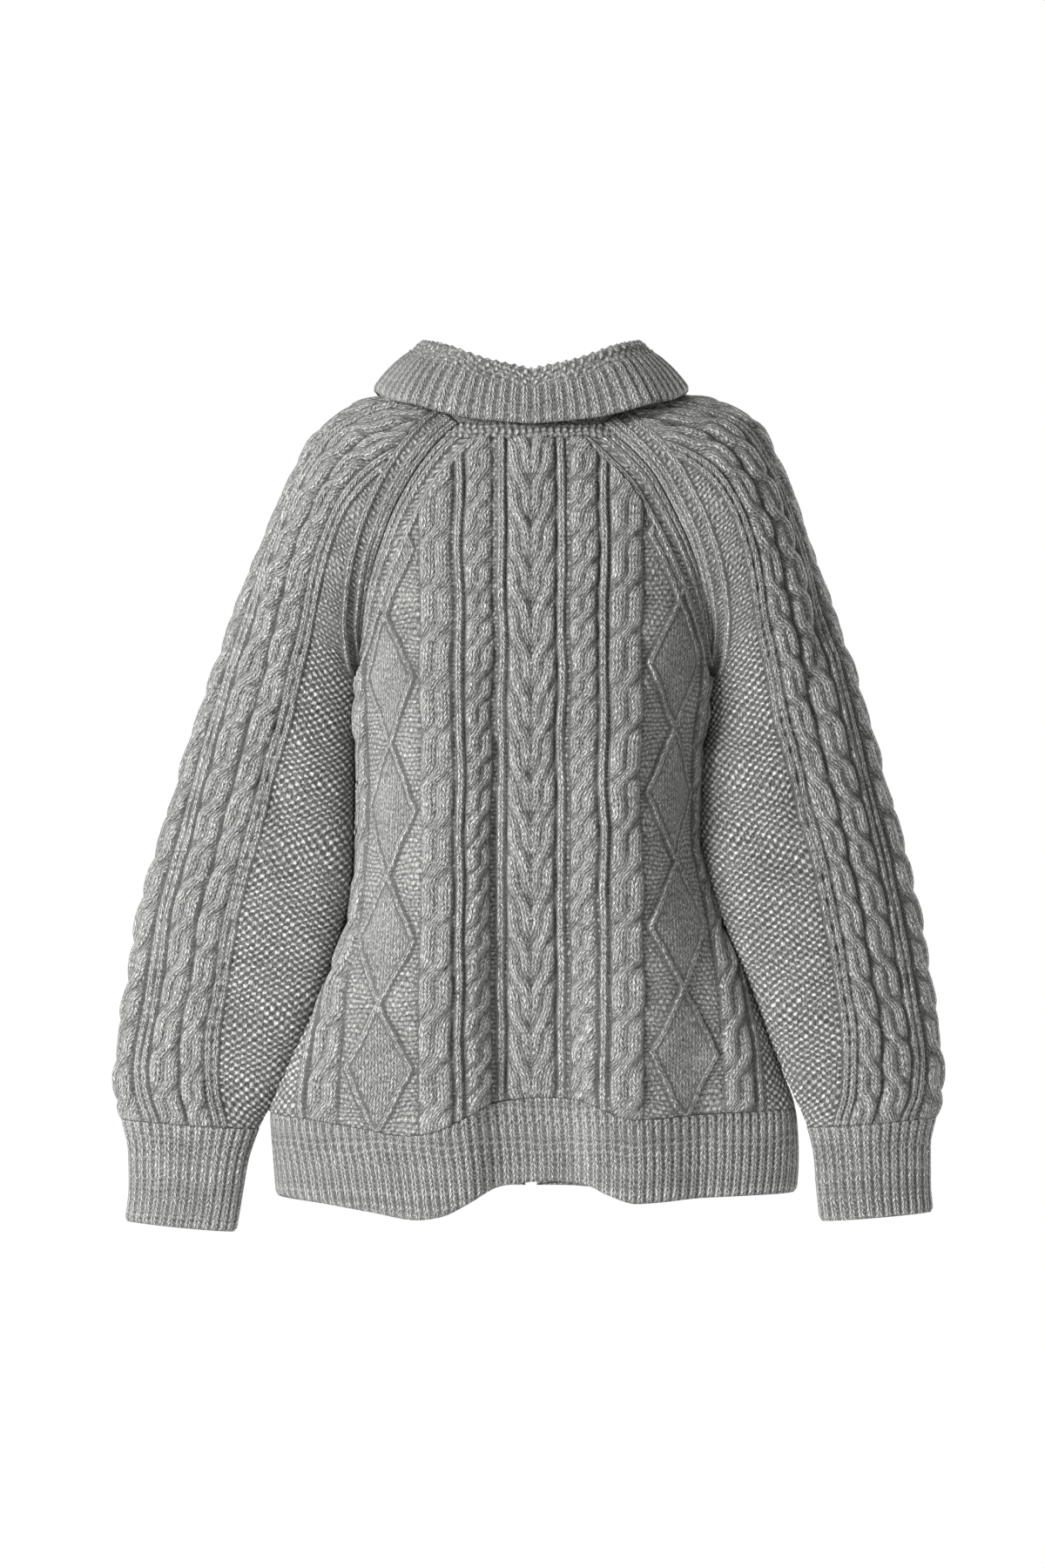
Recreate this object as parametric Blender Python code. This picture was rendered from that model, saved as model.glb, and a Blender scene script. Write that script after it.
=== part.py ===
"""A zip-up raglan cardigan in thick knit, filled out as worn with nobody in it.

The garment's back faces -Y and its zip front faces +Y. +X is the wearer's right,
+Z is up, and Z is 0 at the high shoulder points, where the wearer carries it.
Sizes below are millimetres; the meshes are metres. A "drop" is a depth below the
high shoulder points, and "around" is a distance along the cloth from the centre line.
"""

import math

import bmesh
import bpy
import numpy as np
from mathutils import Matrix, Vector

MM = 0.001

# Driving dimensions.
WALL = 3.4                # thickness of the knit's ground
SEAM_GAP = 0.3            # between two pieces that are sewn together
SQUARENESS = 2.5          # of the torso's rings: 2 is an ellipse
BODY_DROP = 617.0         # high shoulder point to the top of the welt
WELT = 73.0               # height of the welt below it
YOKE_ROWS = 10            # rows from the neck to the underarm
LOWER_ROWS = 16           # rows of the body below the underarm
TUBE_ROWS = 14            # rows of the sleeve below the underarm
UNDERARM = 8.0            # station of the sleeve tables at the underarm
SLEEVE_END = 17.0         # station where the sleeve meets its cuff
CUFF_END = 18.0
FRONT_NECK_DROP = 80.0    # centre front neck below the high shoulder point
FRONT_SEAM_DROP = 10.0    # the front raglan seam starts this much lower
FRONT_SEAM_SPREAD = 8.0   # and this much wider
FRONT_SHALLOWER = 0.12    # and its sleeve head is this share shallower
FRONT_NECK_CURVE = 2.2    # how round the front neckline is
ZIP_OPENING = 5.0         # half the gap between the fronts
SLIT = 0.15               # half of a seam's gap
WIDE_SLIT = 0.5           # the same at the underarm, where the walls lie face to face

# Heights of the raised knitting over its ground.
CREST = 4.2
LOW = 1.6
RIB = 2.6
STRAND = 2.8
BAND = 1.6
SEED = 0.6
RIBBING = 1.9
GROUND = 0.0


def table(columns, *rows):
    """A short table with a row for each section. It is read by its first column."""
    return dict(zip(columns.split(), np.array(rows, float).T))


# Torso rings. Above the underarm the width comes from the raglan seam instead.
TORSO = table(
    "drop  left   right  back   front",
    (25,  104,   104,   64,    50),
    (38,  133,   133,   71,    57),
    (67,  160,   160,   84,    72),
    (80,  165,   165,   89,    79),
    (127, 168,   168,   103,   97),
    (157, 165,   165,   109,   104),
    (191, 160,   162,   113,   110),
    (221, 154,   159,   116,   113),
    (250, 150,   155,   117,   115),
    (290, 146,   146,   117,   116),
    (337, 142,   142,   116,   116),
    (380, 143,   142,   113,   112),
    (416, 146,   150,   110,   108),
    (454, 152,   162,   105,   104),
    (499, 170,   183,   98,    99),
    (544, 190,   201,   92,    95),
    (589, 212,   216,   85,    90),
    (625, 226,   230,   79,    85),
    (660, 224,   232,   76,    81),
    (710, 221,   229,   74,    79),
)

# Sleeve sections from the neck to the cuff: the top line, the inner edge (which is
# the raglan seam as far as the underarm), the angle that the section turns through
# on each face, its half depth, and how far the inner edge lies towards +Y.
SLEEVE_COLUMNS = "station  top_x  top_drop  in_x  in_drop  angle  depth  shift"
SLEEVE = {
    "left": table(
        SLEEVE_COLUMNS,
        (0,    92,  0,   61,  25,  90,  57, 0),
        (1,    126, 3,   77,  38,  93,  64, 0),
        (2,    155, 12,  100, 67,  99,  72, 0),
        (3,    180, 31,  117, 97,  106, 77, 0),
        (4,    199, 58,  129, 127, 115, 79, 0),
        (5,    214, 90,  138, 157, 126, 77, 0),
        (6,    229, 124, 144, 191, 140, 72, 0),
        (7,    244, 160, 148, 221, 157, 66, 0),
        (8,    259, 200, 150, 250, 180, 60, 0),
        (9,    273, 242, 157, 285, 180, 56, -1),
        (10,   289, 286, 160, 322, 180, 52, -5),
        (11,   306, 340, 161, 365, 180, 48, -10),
        (12,   320, 385, 163, 420, 180, 45, -14),
        (13,   338, 446, 173, 468, 180, 43, -14),
        (14,   347, 500, 186, 512, 180, 41, -12),
        (15,   356, 552, 205, 560, 180, 39, -10),
        (16,   360, 597, 222, 602, 180, 35, -8),
        (17,   356, 628, 237, 636, 180, 27, -6),
        (17.3, 350, 652, 246, 660, 180, 24, -6),
        (17.6, 349, 680, 251, 687, 180, 23, -6),
        (18,   352, 706, 256, 715, 180, 22, -6),
    ),
    "right": table(
        SLEEVE_COLUMNS,
        (0,    92,  0,   61,  25,  90,  57, 0),
        (1,    132, 3,   76,  38,  93,  64, 0),
        (2,    168, 10,  104, 67,  99,  72, 0),
        (3,    194, 27,  121, 97,  106, 77, 0),
        (4,    211, 55,  135, 127, 115, 79, 0),
        (5,    224, 86,  145, 157, 126, 77, 0),
        (6,    237, 123, 152, 191, 140, 72, 0),
        (7,    250, 160, 155, 221, 157, 66, 0),
        (8,    265, 203, 155, 250, 180, 60, 0),
        (9,    279, 245, 155, 285, 180, 56, 0),
        (10,   292, 287, 150, 322, 180, 52, -9),
        (11,   307, 340, 150, 372, 180, 48, -18),
        (12,   320, 385, 157, 415, 180, 45, -24),
        (13,   334, 446, 174, 465, 180, 43, -26),
        (14,   344, 500, 194, 512, 180, 41, -25),
        (15,   352, 550, 212, 560, 180, 39, -22),
        (16,   356, 596, 228, 603, 180, 35, -18),
        (17,   352, 626, 240, 634, 180, 27, -15),
        (17.3, 347, 650, 246, 658, 180, 24, -14),
        (17.6, 347, 678, 248, 684, 180, 23, -14),
        (18,   349, 703, 251, 710, 180, 22, -14),
    ),
}
SIGN = {"left": -1.0, "right": 1.0}
FACE = {"back": -1.0, "front": 1.0}

# Large folds: how far the cloth stands out, across the panel and down it.
FOLD_ACROSS = {
    "back": table(
        "at     out",
        (-300, 0),
        (-180, 0.2),
        (-120, 0.75),
        (-85,  1.0),
        (-58,  0.7),
        (-25,  -0.8),
        (5,    -1.0),
        (32,   -0.8),
        (62,   0.5),
        (90,   0.9),
        (112,  0.6),
        (152,  -0.5),
        (195,  -0.4),
        (300,  0),
    ),
    "front": table(
        "at     out",
        (-300, 0),
        (-215, 0.3),
        (-165, -0.7),
        (-105, 0.9),
        (-60,  0.1),
        (-25,  0),
        (25,   0),
        (55,   0.4),
        (95,   1.0),
        (150,  -0.8),
        (205,  0.4),
        (300,  0),
    ),
}
FOLD_DOWN = table(
    "drop  depth",
    (0,   0),
    (150, 0),
    (260, 5),
    (400, 10),
    (560, 14),
    (720, 15),
)
FOLD_FADE = 60.0      # folds die away over this length before the side seam
# The welt's top edge and the hem swing down and up with the folds.
HEM_SWING = {
    "back": table(
        "at     down",
        (-300, 2),
        (-215, 6),
        (-150, 14),
        (-108, 20),
        (-85,  17),
        (-60,  6),
        (-30,  -8),
        (15,   -12),
        (45,   -9),
        (62,   -2),
        (90,   6),
        (150,  3),
        (300,  0),
    ),
    "front": table(
        "at     down",
        (-300, 2),
        (-165, -4),
        (-105, 8),
        (-25,  2),
        (25,   2),
        (95,   8),
        (150,  -4),
        (300,  0),
    ),
}
SWING_FROM = 330.0    # rows above this drop are level

# Knitted columns by their distance from the centre line, with their heights on
# even and on odd rows: the crossings of a cable alternate.
COLUMNS = "at even odd"
SIDE_COLUMNS = (
    (34,  GROUND, GROUND),
    (40,  CREST,  LOW),
    (48,  LOW,    CREST),
    (56,  GROUND, GROUND),
    (63,  RIB,    RIB),
    (70,  GROUND, GROUND),
    (78,  CREST,  LOW),
    (91,  LOW,    CREST),
    (98,  GROUND, GROUND),
    (168, GROUND, GROUND),
    (176, CREST,  LOW),
    (189, LOW,    CREST),
    (197, GROUND, GROUND),
    (203, RIB,    RIB),
    (209, GROUND, GROUND),
    (228, SEED,   SEED),
    (250, SEED,   SEED),
)
PATTERN = {
    "back": table(
        COLUMNS,
        (0,  LOW,    GROUND),
        (8,  CREST,  LOW),
        (16, LOW,    CREST),
        (21, GROUND, GROUND),
        (28, RIB,    RIB),
        *SIDE_COLUMNS,
    ),
    "front": table(
        COLUMNS,
        (9,  RIB,    RIB),
        (14, GROUND, GROUND),
        (20, CREST,  LOW),
        (28, LOW,    CREST),
        *SIDE_COLUMNS,
    ),
    "sleeve": table(
        COLUMNS,
        (0,   LOW,    CREST),
        (10,  CREST,  LOW),
        (21,  LOW,    CREST),
        (30,  GROUND, GROUND),
        (37,  RIB,    RIB),
        (44,  GROUND, GROUND),
        (51,  CREST,  LOW),
        (64,  LOW,    CREST),
        (71,  GROUND, GROUND),
        (77,  CREST,  LOW),
        (87,  LOW,    CREST),
        (93,  GROUND, GROUND),
        (98,  RIB,    RIB),
        (104, GROUND, GROUND),
        (121, SEED,   SEED),
        (138, SEED,   SEED),
        (153, SEED,   SEED),
        (167, SEED,   SEED),
        (181, SEED,   SEED),
        (195, SEED,   SEED),
    ),
}
# A lattice of diamonds: its strands step across one column in each row.
DIAMOND_CENTRE = 133.0
DIAMOND_STEP = 10.0
DIAMOND_STEPS = 3
# The plain band along a raglan seam, by the distance from the seam.
RAGLAN_BAND = table(
    "from  high",
    (17, GROUND),
    (13, BAND),
    (5,  BAND),
)
COLUMN_ROOM = 5.0     # the least room between a pattern's column and what cuts it off
INNER_SPACING = 19.0  # of the plain inside's columns, which are on every second row

# The collar by its share of the way from centre back to centre front: the fold on
# top, and the lower edge of the turned-down fall. The neck seam comes from the body.
COLLAR = table(
    "share fold_x fold_y fold_z edge_x edge_y edge_z",
    (0,    0,     -67,   24,    0,     -103,  -16),
    (0.15, 42,    -62,   32,    58,    -99,   -11),
    (0.26, 72,    -45,   41,    104,   -79,   -2),
    (0.46, 93,    -4,    45,    137,   -8,    8),
    (0.66, 86,    38,    34,    124,   66,    -6),
    (0.80, 62,    66,    8,     96,    104,   -38),
    (0.92, 34,    86,    -18,   55,    121,   -64),
    (1,    10,    93,    -34,   20,    124,   -82),
)
COLLAR_WALL = 3.6
COLLAR_RIBS = 46
FOLD_RADIUS = 4.4
WELT_RIB = 8.2
CUFF_RIBS = 30

# The zip.
TAPE_WIDTH = 16.0
TAPE = 0.9                # thickness
TAPE_EDGE = 0.4           # from the centre line
CHAIN_HALF_WIDTH = 2.9
CHAIN = 2.2               # thickness
ZIP_TOP = 83.0            # drops of its two ends
ZIP_BOTTOM = 685.0
ZIP_BEHIND = 4.6          # its tapes behind the fronts' outer ground
BOX_HEIGHT = 9.0
BOX_HALF_WIDTH = 3.8
BOX = 3.4                 # thickness
ZIP_WELT_ROWS = (640.0, 658.0, 674.0)
SLIDER_TOP = 86.0
SLIDER_LENGTH = 12.0
SLIDER_HALF_WIDTH = 3.9
SLIDER_PLATE = 2.0        # thickness
BRIDGE_HALF_LENGTH = 4.6
BRIDGE_HALF_WIDTH = 1.1
BRIDGE_BAR = 1.3
BRIDGE_CLEAR = 2.8        # between the slider's plate and the bar of the bridge
TAB_LENGTH = 26.0
TAB_HALF_WIDTH = 4.0
TAB_CORNER = 1.2
TAB = 1.4                 # thickness
TAB_HEAD = 0.8            # from the pivot to the tab's upper end
WINDOW_HALF_WIDTH = 2.0
WINDOW_LENGTH = 7.5

COLOURS = {
    "knit": ((0.27, 0.275, 0.26), 0.95, 0.0),
    "tape": ((0.20, 0.205, 0.20), 0.9, 0.0),
    "metal": ((0.55, 0.53, 0.49), 0.3, 1.0),
}


def read(tab, column, at):
    """Reads a table's column along its first one, on a smooth line that never overshoots."""
    key, value = tab[next(iter(tab))], tab[column]
    step = np.diff(key)
    slope = np.diff(value) / step
    inner = np.zeros(len(key) - 2)
    same = slope[:-1] * slope[1:] > 0
    first = (2 * step[1:] + step[:-1])[same]
    second = (step[1:] + 2 * step[:-1])[same]
    inner[same] = (first + second) / (first / slope[:-1][same] + second / slope[1:][same])
    tangent = np.concatenate([[slope[0]], inner, [slope[-1]]])
    at = np.clip(np.asarray(at, float), key[0], key[-1])
    left = np.clip(np.searchsorted(key, at, side="right") - 1, 0, len(key) - 2)
    u = (at - key[left]) / step[left]
    return (
        value[left] * (1 + 2 * u) * (1 - u) ** 2
        + tangent[left] * step[left] * u * (1 - u) ** 2
        + value[left + 1] * u**2 * (3 - 2 * u)
        + tangent[left + 1] * step[left] * u**2 * (u - 1)
    )


def stack(*parts):
    return np.stack(np.broadcast_arrays(*parts), axis=-1).astype(float)


def unit(vectors):
    return vectors / np.maximum(np.linalg.norm(vectors, axis=-1, keepdims=True), 1e-9)


def yoke_share(station):
    """1 at the neck, 0 from the underarm down."""
    return np.clip(1 - np.asarray(station, float) / UNDERARM, 0, 1)


def inner_edge(side, face, station):
    """Where a sleeve's section meets the torso, as (x, drop). The front seam starts lower and wider."""
    front = yoke_share(station) if face == "front" else 0.0
    x = read(SLEEVE[side], "in_x", station) + FRONT_SEAM_SPREAD * front
    drop = read(SLEEVE[side], "in_drop", station) + FRONT_SEAM_DROP * front
    return x, drop


def section_depth(side, face, station):
    front = yoke_share(station) if face == "front" else 0.0
    return read(SLEEVE[side], "depth", station) * (1 - FRONT_SHALLOWER * front)


def sleeve_point(side, face, station, turn):
    """A point of the sleeve's outer ground: turn runs from 0 on the top line to 1 at the inner edge."""
    limit = np.radians(read(SLEEVE[side], "angle", station))
    angle = limit * turn
    share = (1 - np.cos(angle)) / (1 - np.cos(limit))
    top_x = read(SLEEVE[side], "top_x", station)
    top_drop = read(SLEEVE[side], "top_drop", station)
    in_x, in_drop = inner_edge(side, face, station)
    x = top_x + (in_x - top_x) * share
    drop = top_drop + (in_drop - top_drop) * share
    y = read(SLEEVE[side], "shift", station) * share
    y = y + FACE[face] * section_depth(side, face, station) * np.sin(angle)
    return stack(SIGN[side] * x, y, -drop)


def torso_reach(side, face, drop):
    """Half width and half depth of a torso ring. Above the underarm it passes through the raglan seam."""
    depth = read(TORSO, face, drop)
    stations = np.linspace(0, UNDERARM, 161)
    seam_x, seam_drop = inner_edge(side, face, stations)
    limit = np.radians(read(SLEEVE[side], "angle", stations))
    seam_y = section_depth(side, face, stations) * np.sin(limit)
    x = np.interp(drop, seam_drop, seam_x)
    fill = np.clip(np.interp(drop, seam_drop, seam_y) / depth, 0, 0.985)
    through_seam = x / (1 - fill**SQUARENESS) ** (1 / SQUARENESS)
    return np.where(drop < seam_drop[-1], through_seam, read(TORSO, side, drop)), depth


class Quarter:
    """A quarter of the torso's outer ground, found by the distance around it and the drop."""

    STEP = 4.0
    LONGEST = 440.0

    def __init__(self, side, face):
        self.side, self.face = side, face
        self.drops = np.arange(20.0, 724.0, self.STEP)
        self.arounds = np.arange(0.0, self.LONGEST, self.STEP)
        width, depth = torso_reach(side, face, self.drops)
        angle = np.linspace(0, math.pi / 2, 500)
        power = 2 / SQUARENESS
        x = width[:, None] * np.sin(angle) ** power
        y = depth[:, None] * np.abs(np.cos(angle)) ** power
        steps = np.hypot(np.diff(x), np.diff(y))
        length = np.concatenate([np.zeros((len(x), 1)), np.cumsum(steps, axis=1)], axis=1)
        self.length = length[:, -1]
        self.x = np.array([np.interp(self.arounds, a, b) for a, b in zip(length, x)])
        self.y = np.array([np.interp(self.arounds, a, b) for a, b in zip(length, y)])

    def look_up(self, grid, around, drop):
        i = np.clip((drop - self.drops[0]) / self.STEP, 0, len(self.drops) - 1.001)
        j = np.clip(around / self.STEP, 0, len(self.arounds) - 1.001)
        i0, j0 = i.astype(int), j.astype(int)
        u, v = i - i0, j - j0
        low = grid[i0, j0] * (1 - v) + grid[i0, j0 + 1] * v
        high = grid[i0 + 1, j0] * (1 - v) + grid[i0 + 1, j0 + 1] * v
        return low * (1 - u) + high * u

    def point(self, around, drop):
        around, drop = np.broadcast_arrays(np.asarray(around, float), np.asarray(drop, float))
        x = SIGN[self.side] * self.look_up(self.x, around, drop)
        at = SIGN[self.side] * around
        out = read(FOLD_ACROSS[self.face], "out", at) * read(FOLD_DOWN, "depth", drop)
        room = np.clip((self.side_seam(drop) - around) / FOLD_FADE, 0, 1)
        y = self.look_up(self.y, around, drop) + out * room**2 * (3 - 2 * room)
        return stack(x, FACE[self.face] * y, -drop)

    def side_seam(self, drop):
        return np.interp(drop, self.drops, self.length)

    def raglan(self, station):
        """How far around the raglan seam lies, and its drop, at one station."""
        x, drop = inner_edge(self.side, self.face, station)
        i = (drop - self.drops[0]) / self.STEP
        low, share = int(i), i - int(i)
        ring = self.x[low] * (1 - share) + self.x[low + 1] * share
        around = min(float(np.interp(x, ring, self.arounds)), float(self.side_seam(drop)))
        return around, float(drop)


QUARTERS = {(side, face): Quarter(side, face) for side in SIGN for face in FACE}


def torso_point(face, around, drop):
    """A point of the back or the front, with around signed: positive to +X."""
    around = np.asarray(around, float)
    left = QUARTERS["left", face].point(np.abs(around), drop)
    right = QUARTERS["right", face].point(np.abs(around), drop)
    return np.where((around < 0)[..., None], left, right)


def torso_normal(face, around, drop):
    step = 1.5
    across = torso_point(face, around + step, drop) - torso_point(face, around - step, drop)
    down = torso_point(face, around, drop + step) - torso_point(face, around, drop - step)
    return unit(np.cross(across, down) * FACE[face])


def sleeve_normal(side, face, station, turn):
    step, swing = 0.02, 0.004
    low = np.clip(station - step, 0, CUFF_END)
    high = np.clip(station + step, 0, CUFF_END)
    along = sleeve_point(side, face, high, turn) - sleeve_point(side, face, low, turn)
    near, far = np.clip(turn - swing, -1, 1), np.clip(turn + swing, -1, 1)
    around = sleeve_point(side, face, station, far) - sleeve_point(side, face, station, near)
    return unit(np.cross(along, around) * SIGN[side] * FACE[face])


def seam_frame(side, face, station):
    """The raglan seam's point, the way its thickness goes out, and the half gap towards the sleeve."""
    seam = sleeve_point(side, face, station, 1.0)
    low, high = max(station - 0.05, 0), min(station + 0.05, UNDERARM)
    along = unit(sleeve_point(side, face, high, 1.0) - sleeve_point(side, face, low, 1.0))
    out = unit(np.cross(along, (1.0, 0.0, 0.0)))
    out = out if out[1] * FACE[face] > 0 else -out
    if station > UNDERARM - 0.01:
        out = np.array([0.0, 0.0, -1.0])
    to_sleeve = unit(np.cross(along, out))
    to_sleeve = to_sleeve if to_sleeve[0] * SIGN[side] > 0 else -to_sleeve
    if station > UNDERARM - 0.01:
        to_sleeve = np.array([SIGN[side], 0.0, 0.0])
    if station == 0:
        out = neck_out(seam)
    near_underarm = np.clip(station - UNDERARM + 2, 0, 1)
    return seam, out, to_sleeve * (SLIT + (WIDE_SLIT - SLIT) * near_underarm)


def neck_out(points):
    """The way out at the neck seam, level and away from the neck."""
    return unit(points * (1.0, 1.0, 0.0))


def with_band(row, at, high, seam):
    """Cuts a pattern's columns off at the band along a raglan seam, which flattens towards the underarm."""
    keep = at < seam - RAGLAN_BAND["from"][0] - COLUMN_ROOM
    flat = np.clip((YOKE_ROWS - 1 - row) / 2, 0, 1)
    return (
        np.concatenate([at[keep], seam - RAGLAN_BAND["from"]]),
        np.concatenate([high[keep], RAGLAN_BAND["high"] * flat]),
    )


def half_columns(pattern, row, seam, banded, diamonds=True):
    """The columns of half a panel in one row, as places and heights, short of the seam itself."""
    tab = PATTERN[pattern]
    at, high = tab["at"], tab["odd" if row % 2 else "even"]
    if diamonds:
        steps = np.arange(-DIAMOND_STEPS, DIAMOND_STEPS + 1)
        strand = abs(row % (2 * DIAMOND_STEPS) - DIAMOND_STEPS)
        lattice = np.where(np.abs(steps) == strand, STRAND, GROUND)
        at = np.concatenate([at, DIAMOND_CENTRE + DIAMOND_STEP * steps])
        high = np.concatenate([high, lattice])
        order = np.argsort(at)
        at, high = at[order], high[order]
    if banded:
        return with_band(row, at, high, seam)
    keep = at < seam - COLUMN_ROOM
    return at[keep], high[keep]


def zipper(mesh, keys_a, row_a, keys_b, row_b, flip):
    """Triangles between two rows of vertices whose columns differ, in the order of their keys."""
    i = j = 0
    while i < len(row_a) - 1 or j < len(row_b) - 1:
        more_a, more_b = i < len(row_a) - 1, j < len(row_b) - 1
        if more_a and (not more_b or keys_a[i + 1] <= keys_b[j + 1] + 1e-6):
            corners = (row_a[i], row_b[j], row_a[i + 1])
            i += 1
        else:
            corners = (row_a[i], row_b[j], row_b[j + 1])
            j += 1
        mesh.faces.new(corners[::-1] if flip else corners)


def sheet(mesh, rows, flip):
    """One face of a wall: rows of (keys, points), each zipped to the next. Returns its vertices."""
    verts = [[mesh.verts.new(p * MM) for p in points] for _, points in rows]
    for k in range(len(rows) - 1):
        zipper(mesh, rows[k][0], verts[k], rows[k + 1][0], verts[k + 1], flip)
    return verts


def wall(name, rows, material, inner_step=2):
    """A solid wall from pairs of rows, raised outside and plain inside, where fewer rows are needed."""
    mesh = bmesh.new()
    used = list(range(0, len(rows), inner_step))
    outer = sheet(mesh, [pair[0] for pair in rows], False)
    inner = sheet(mesh, [rows[k][1] for k in used], True)
    for end in (0, -1):
        rim = [row[end] for row in outer], [row[end] for row in inner]
        zipper(mesh, range(len(rows)), rim[0], np.subtract(used, 0.7), rim[1], not end)
    for end in (0, -1):
        (outer_keys, _), (inner_keys, _) = rows[end]
        zipper(mesh, outer_keys, outer[end], inner_keys, inner[end], not end)
    bmesh.ops.recalc_face_normals(mesh, faces=mesh.faces)
    return finish(name, mesh, material)


def finish(name, mesh, material):
    data = bpy.data.meshes.new(name)
    if mesh.calc_volume(signed=True) < 0:
        bmesh.ops.reverse_faces(mesh, faces=mesh.faces)
    mesh.to_mesh(data)
    mesh.free()
    piece = bpy.data.objects.new(name, data)
    data.materials.append(paint(name, material))
    bpy.data.collections["Cardigan"].objects.link(piece)
    return piece


def paint(name, kind):
    colour, roughness, metallic = COLOURS[kind]
    material = bpy.data.materials.new(name)
    material.use_nodes = True
    shader = material.node_tree.nodes["Principled BSDF"]
    shader.inputs["Base Color"].default_value = (*colour, 1.0)
    shader.inputs["Roughness"].default_value = roughness
    shader.inputs["Metallic"].default_value = metallic
    return material


def inner_columns(keys):
    """A plain inside has fewer columns: the two ends and some even steps between them."""
    count = max(1, round((keys[-1] - keys[0]) / INNER_SPACING))
    return np.linspace(keys[0], keys[-1], count + 1)


def panel_row(face, around, high, drop, level=False, neck=False, inside=None):
    """Outer and inner rows of a torso panel: raised points outside, a plain inside."""
    keys = inner_columns(around) if inside is None else inside
    inner_drop = np.interp(keys, around, drop)
    rows = []
    for at, depth, out in ((around, drop, high), (keys, inner_drop, -WALL)):
        ground = torso_point(face, at, depth)
        normal = torso_normal(face, at, depth)
        if neck:
            normal = neck_out(ground)
        if level:
            normal = unit(normal * (1.0, 1.0, 0.0))
        rows.append((at, ground + normal * np.asarray(out, float).reshape(-1, 1)))
    return rows


def set_end(rows, end, point, out, inward):
    """Puts a row's end on a seam: its thickness goes along out, and inward is its half gap."""
    outer, inner = rows
    outer[1][end] = point + inward
    inner[1][end] = point - out * WALL + inward


def swing(face, around, base):
    """The drop of a lower row, which follows the hem's swing more and more."""
    share = np.clip((base - SWING_FROM) / (BODY_DROP - SWING_FROM), 0, 1)
    return base + read(HEM_SWING[face], "down", around) * share**1.5


def yoke_end(side, face, station):
    """The end of a yoke's row on the raglan seam, with the side seam's gap too at the underarm."""
    seam, out, to_sleeve = seam_frame(side, face, station)
    return seam, out, -to_sleeve + (0.0, FACE[face] * SLIT if station == UNDERARM else 0.0, 0.0)


def back():
    pairs = []
    underarm = QUARTERS["left", "back"].raglan(UNDERARM)[1]
    for row in range(YOKE_ROWS + LOWER_ROWS + 1):
        yoke = row <= YOKE_ROWS
        if yoke:
            station = UNDERARM * row / YOKE_ROWS
            ends = {side: QUARTERS[side, "back"].raglan(station) for side in SIGN}
            base = ends["left"][1]
        else:
            base = float(np.interp(row, (YOKE_ROWS, YOKE_ROWS + LOWER_ROWS), (underarm, BODY_DROP)))
            ends = {side: (float(QUARTERS[side, "back"].side_seam(base)), base) for side in SIGN}
        halves = {side: half_columns("back", row, ends[side][0], yoke) for side in SIGN}
        around = np.concatenate([
            [-ends["left"][0]], -halves["left"][0][::-1], halves["right"][0][1:], [ends["right"][0]]])
        high = np.concatenate([[0], halves["left"][1][::-1], halves["right"][1][1:], [0]])
        last = row == YOKE_ROWS + LOWER_ROWS
        if last:
            around = welt_columns("back", -ends["left"][0], ends["right"][0])
        if last or row == 0:
            high = np.zeros(len(around))
        drop = np.full(len(around), base) if yoke else swing("back", around, base)
        sewn = around if last or row == 0 else None
        rows = panel_row("back", around, high, drop, level=last, neck=row == 0, inside=sewn)
        for end, side in ((0, "left"), (-1, "right")):
            if yoke:
                set_end(rows, end, *yoke_end(side, "back", station))
            else:
                seam = torso_point("back", around[end], drop[end])
                set_end(rows, end, seam, np.array([SIGN[side], 0.0, 0.0]), np.array([0.0, -SLIT, 0.0]))
        pairs.append(rows)
    return wall("back", pairs, "knit")


def front_drop(row_drop, centre_drop, around, seam):
    """Rows of a front near the neck follow its curve, and level out towards the underarm."""
    share = np.clip(np.abs(around) / seam, 0, 1)
    return row_drop + (centre_drop - row_drop) * (1 - share**FRONT_NECK_CURVE)


def front(side):
    sign = SIGN[side]
    quarter = QUARTERS[side, "front"]
    pairs = []
    first_drop = quarter.raglan(0)[1]
    last_drop = quarter.raglan(UNDERARM)[1]
    for row in range(YOKE_ROWS + LOWER_ROWS + 1):
        yoke = row <= YOKE_ROWS
        if yoke:
            station = UNDERARM * row / YOKE_ROWS
            seam, base = quarter.raglan(station)
            share = (base - first_drop) / (last_drop - first_drop)
            centre = FRONT_NECK_DROP + (last_drop - FRONT_NECK_DROP) * share
        else:
            base = float(np.interp(row, (YOKE_ROWS, YOKE_ROWS + LOWER_ROWS), (last_drop, BODY_DROP)))
            seam = float(quarter.side_seam(base))
        at, high = half_columns("front", row, seam, yoke)
        at = np.concatenate([[ZIP_OPENING], at, [seam]])
        high = np.concatenate([[GROUND], high, [GROUND]])
        last = row == YOKE_ROWS + LOWER_ROWS
        if last:
            at = welt_columns("front", ZIP_OPENING, seam)
        if last or row == 0:
            high = np.zeros(len(at))
        around = sign * at
        drop = front_drop(base, centre, at, seam) if yoke else swing("front", around, base)
        if side == "left":
            around, high, drop = around[::-1], high[::-1], drop[::-1]
        sewn = around if last or row == 0 else None
        rows = panel_row("front", around, high, drop, level=last, neck=row == 0, inside=sewn)
        end = 0 if side == "left" else -1
        if yoke:
            set_end(rows, end, *yoke_end(side, "front", station))
        else:
            point = torso_point("front", around[end], drop[end])
            set_end(rows, end, point, np.array([sign, 0.0, 0.0]), np.array([0.0, SLIT, 0.0]))
        pairs.append(rows)
    return wall(f"front_{side}", pairs, "knit")


def welt_columns(face, first, last):
    """The ribbing's columns between two distances around, a crest and a furrow for each rib."""
    return np.linspace(first, last, 2 * round((last - first) / WELT_RIB) + 1)


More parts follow.
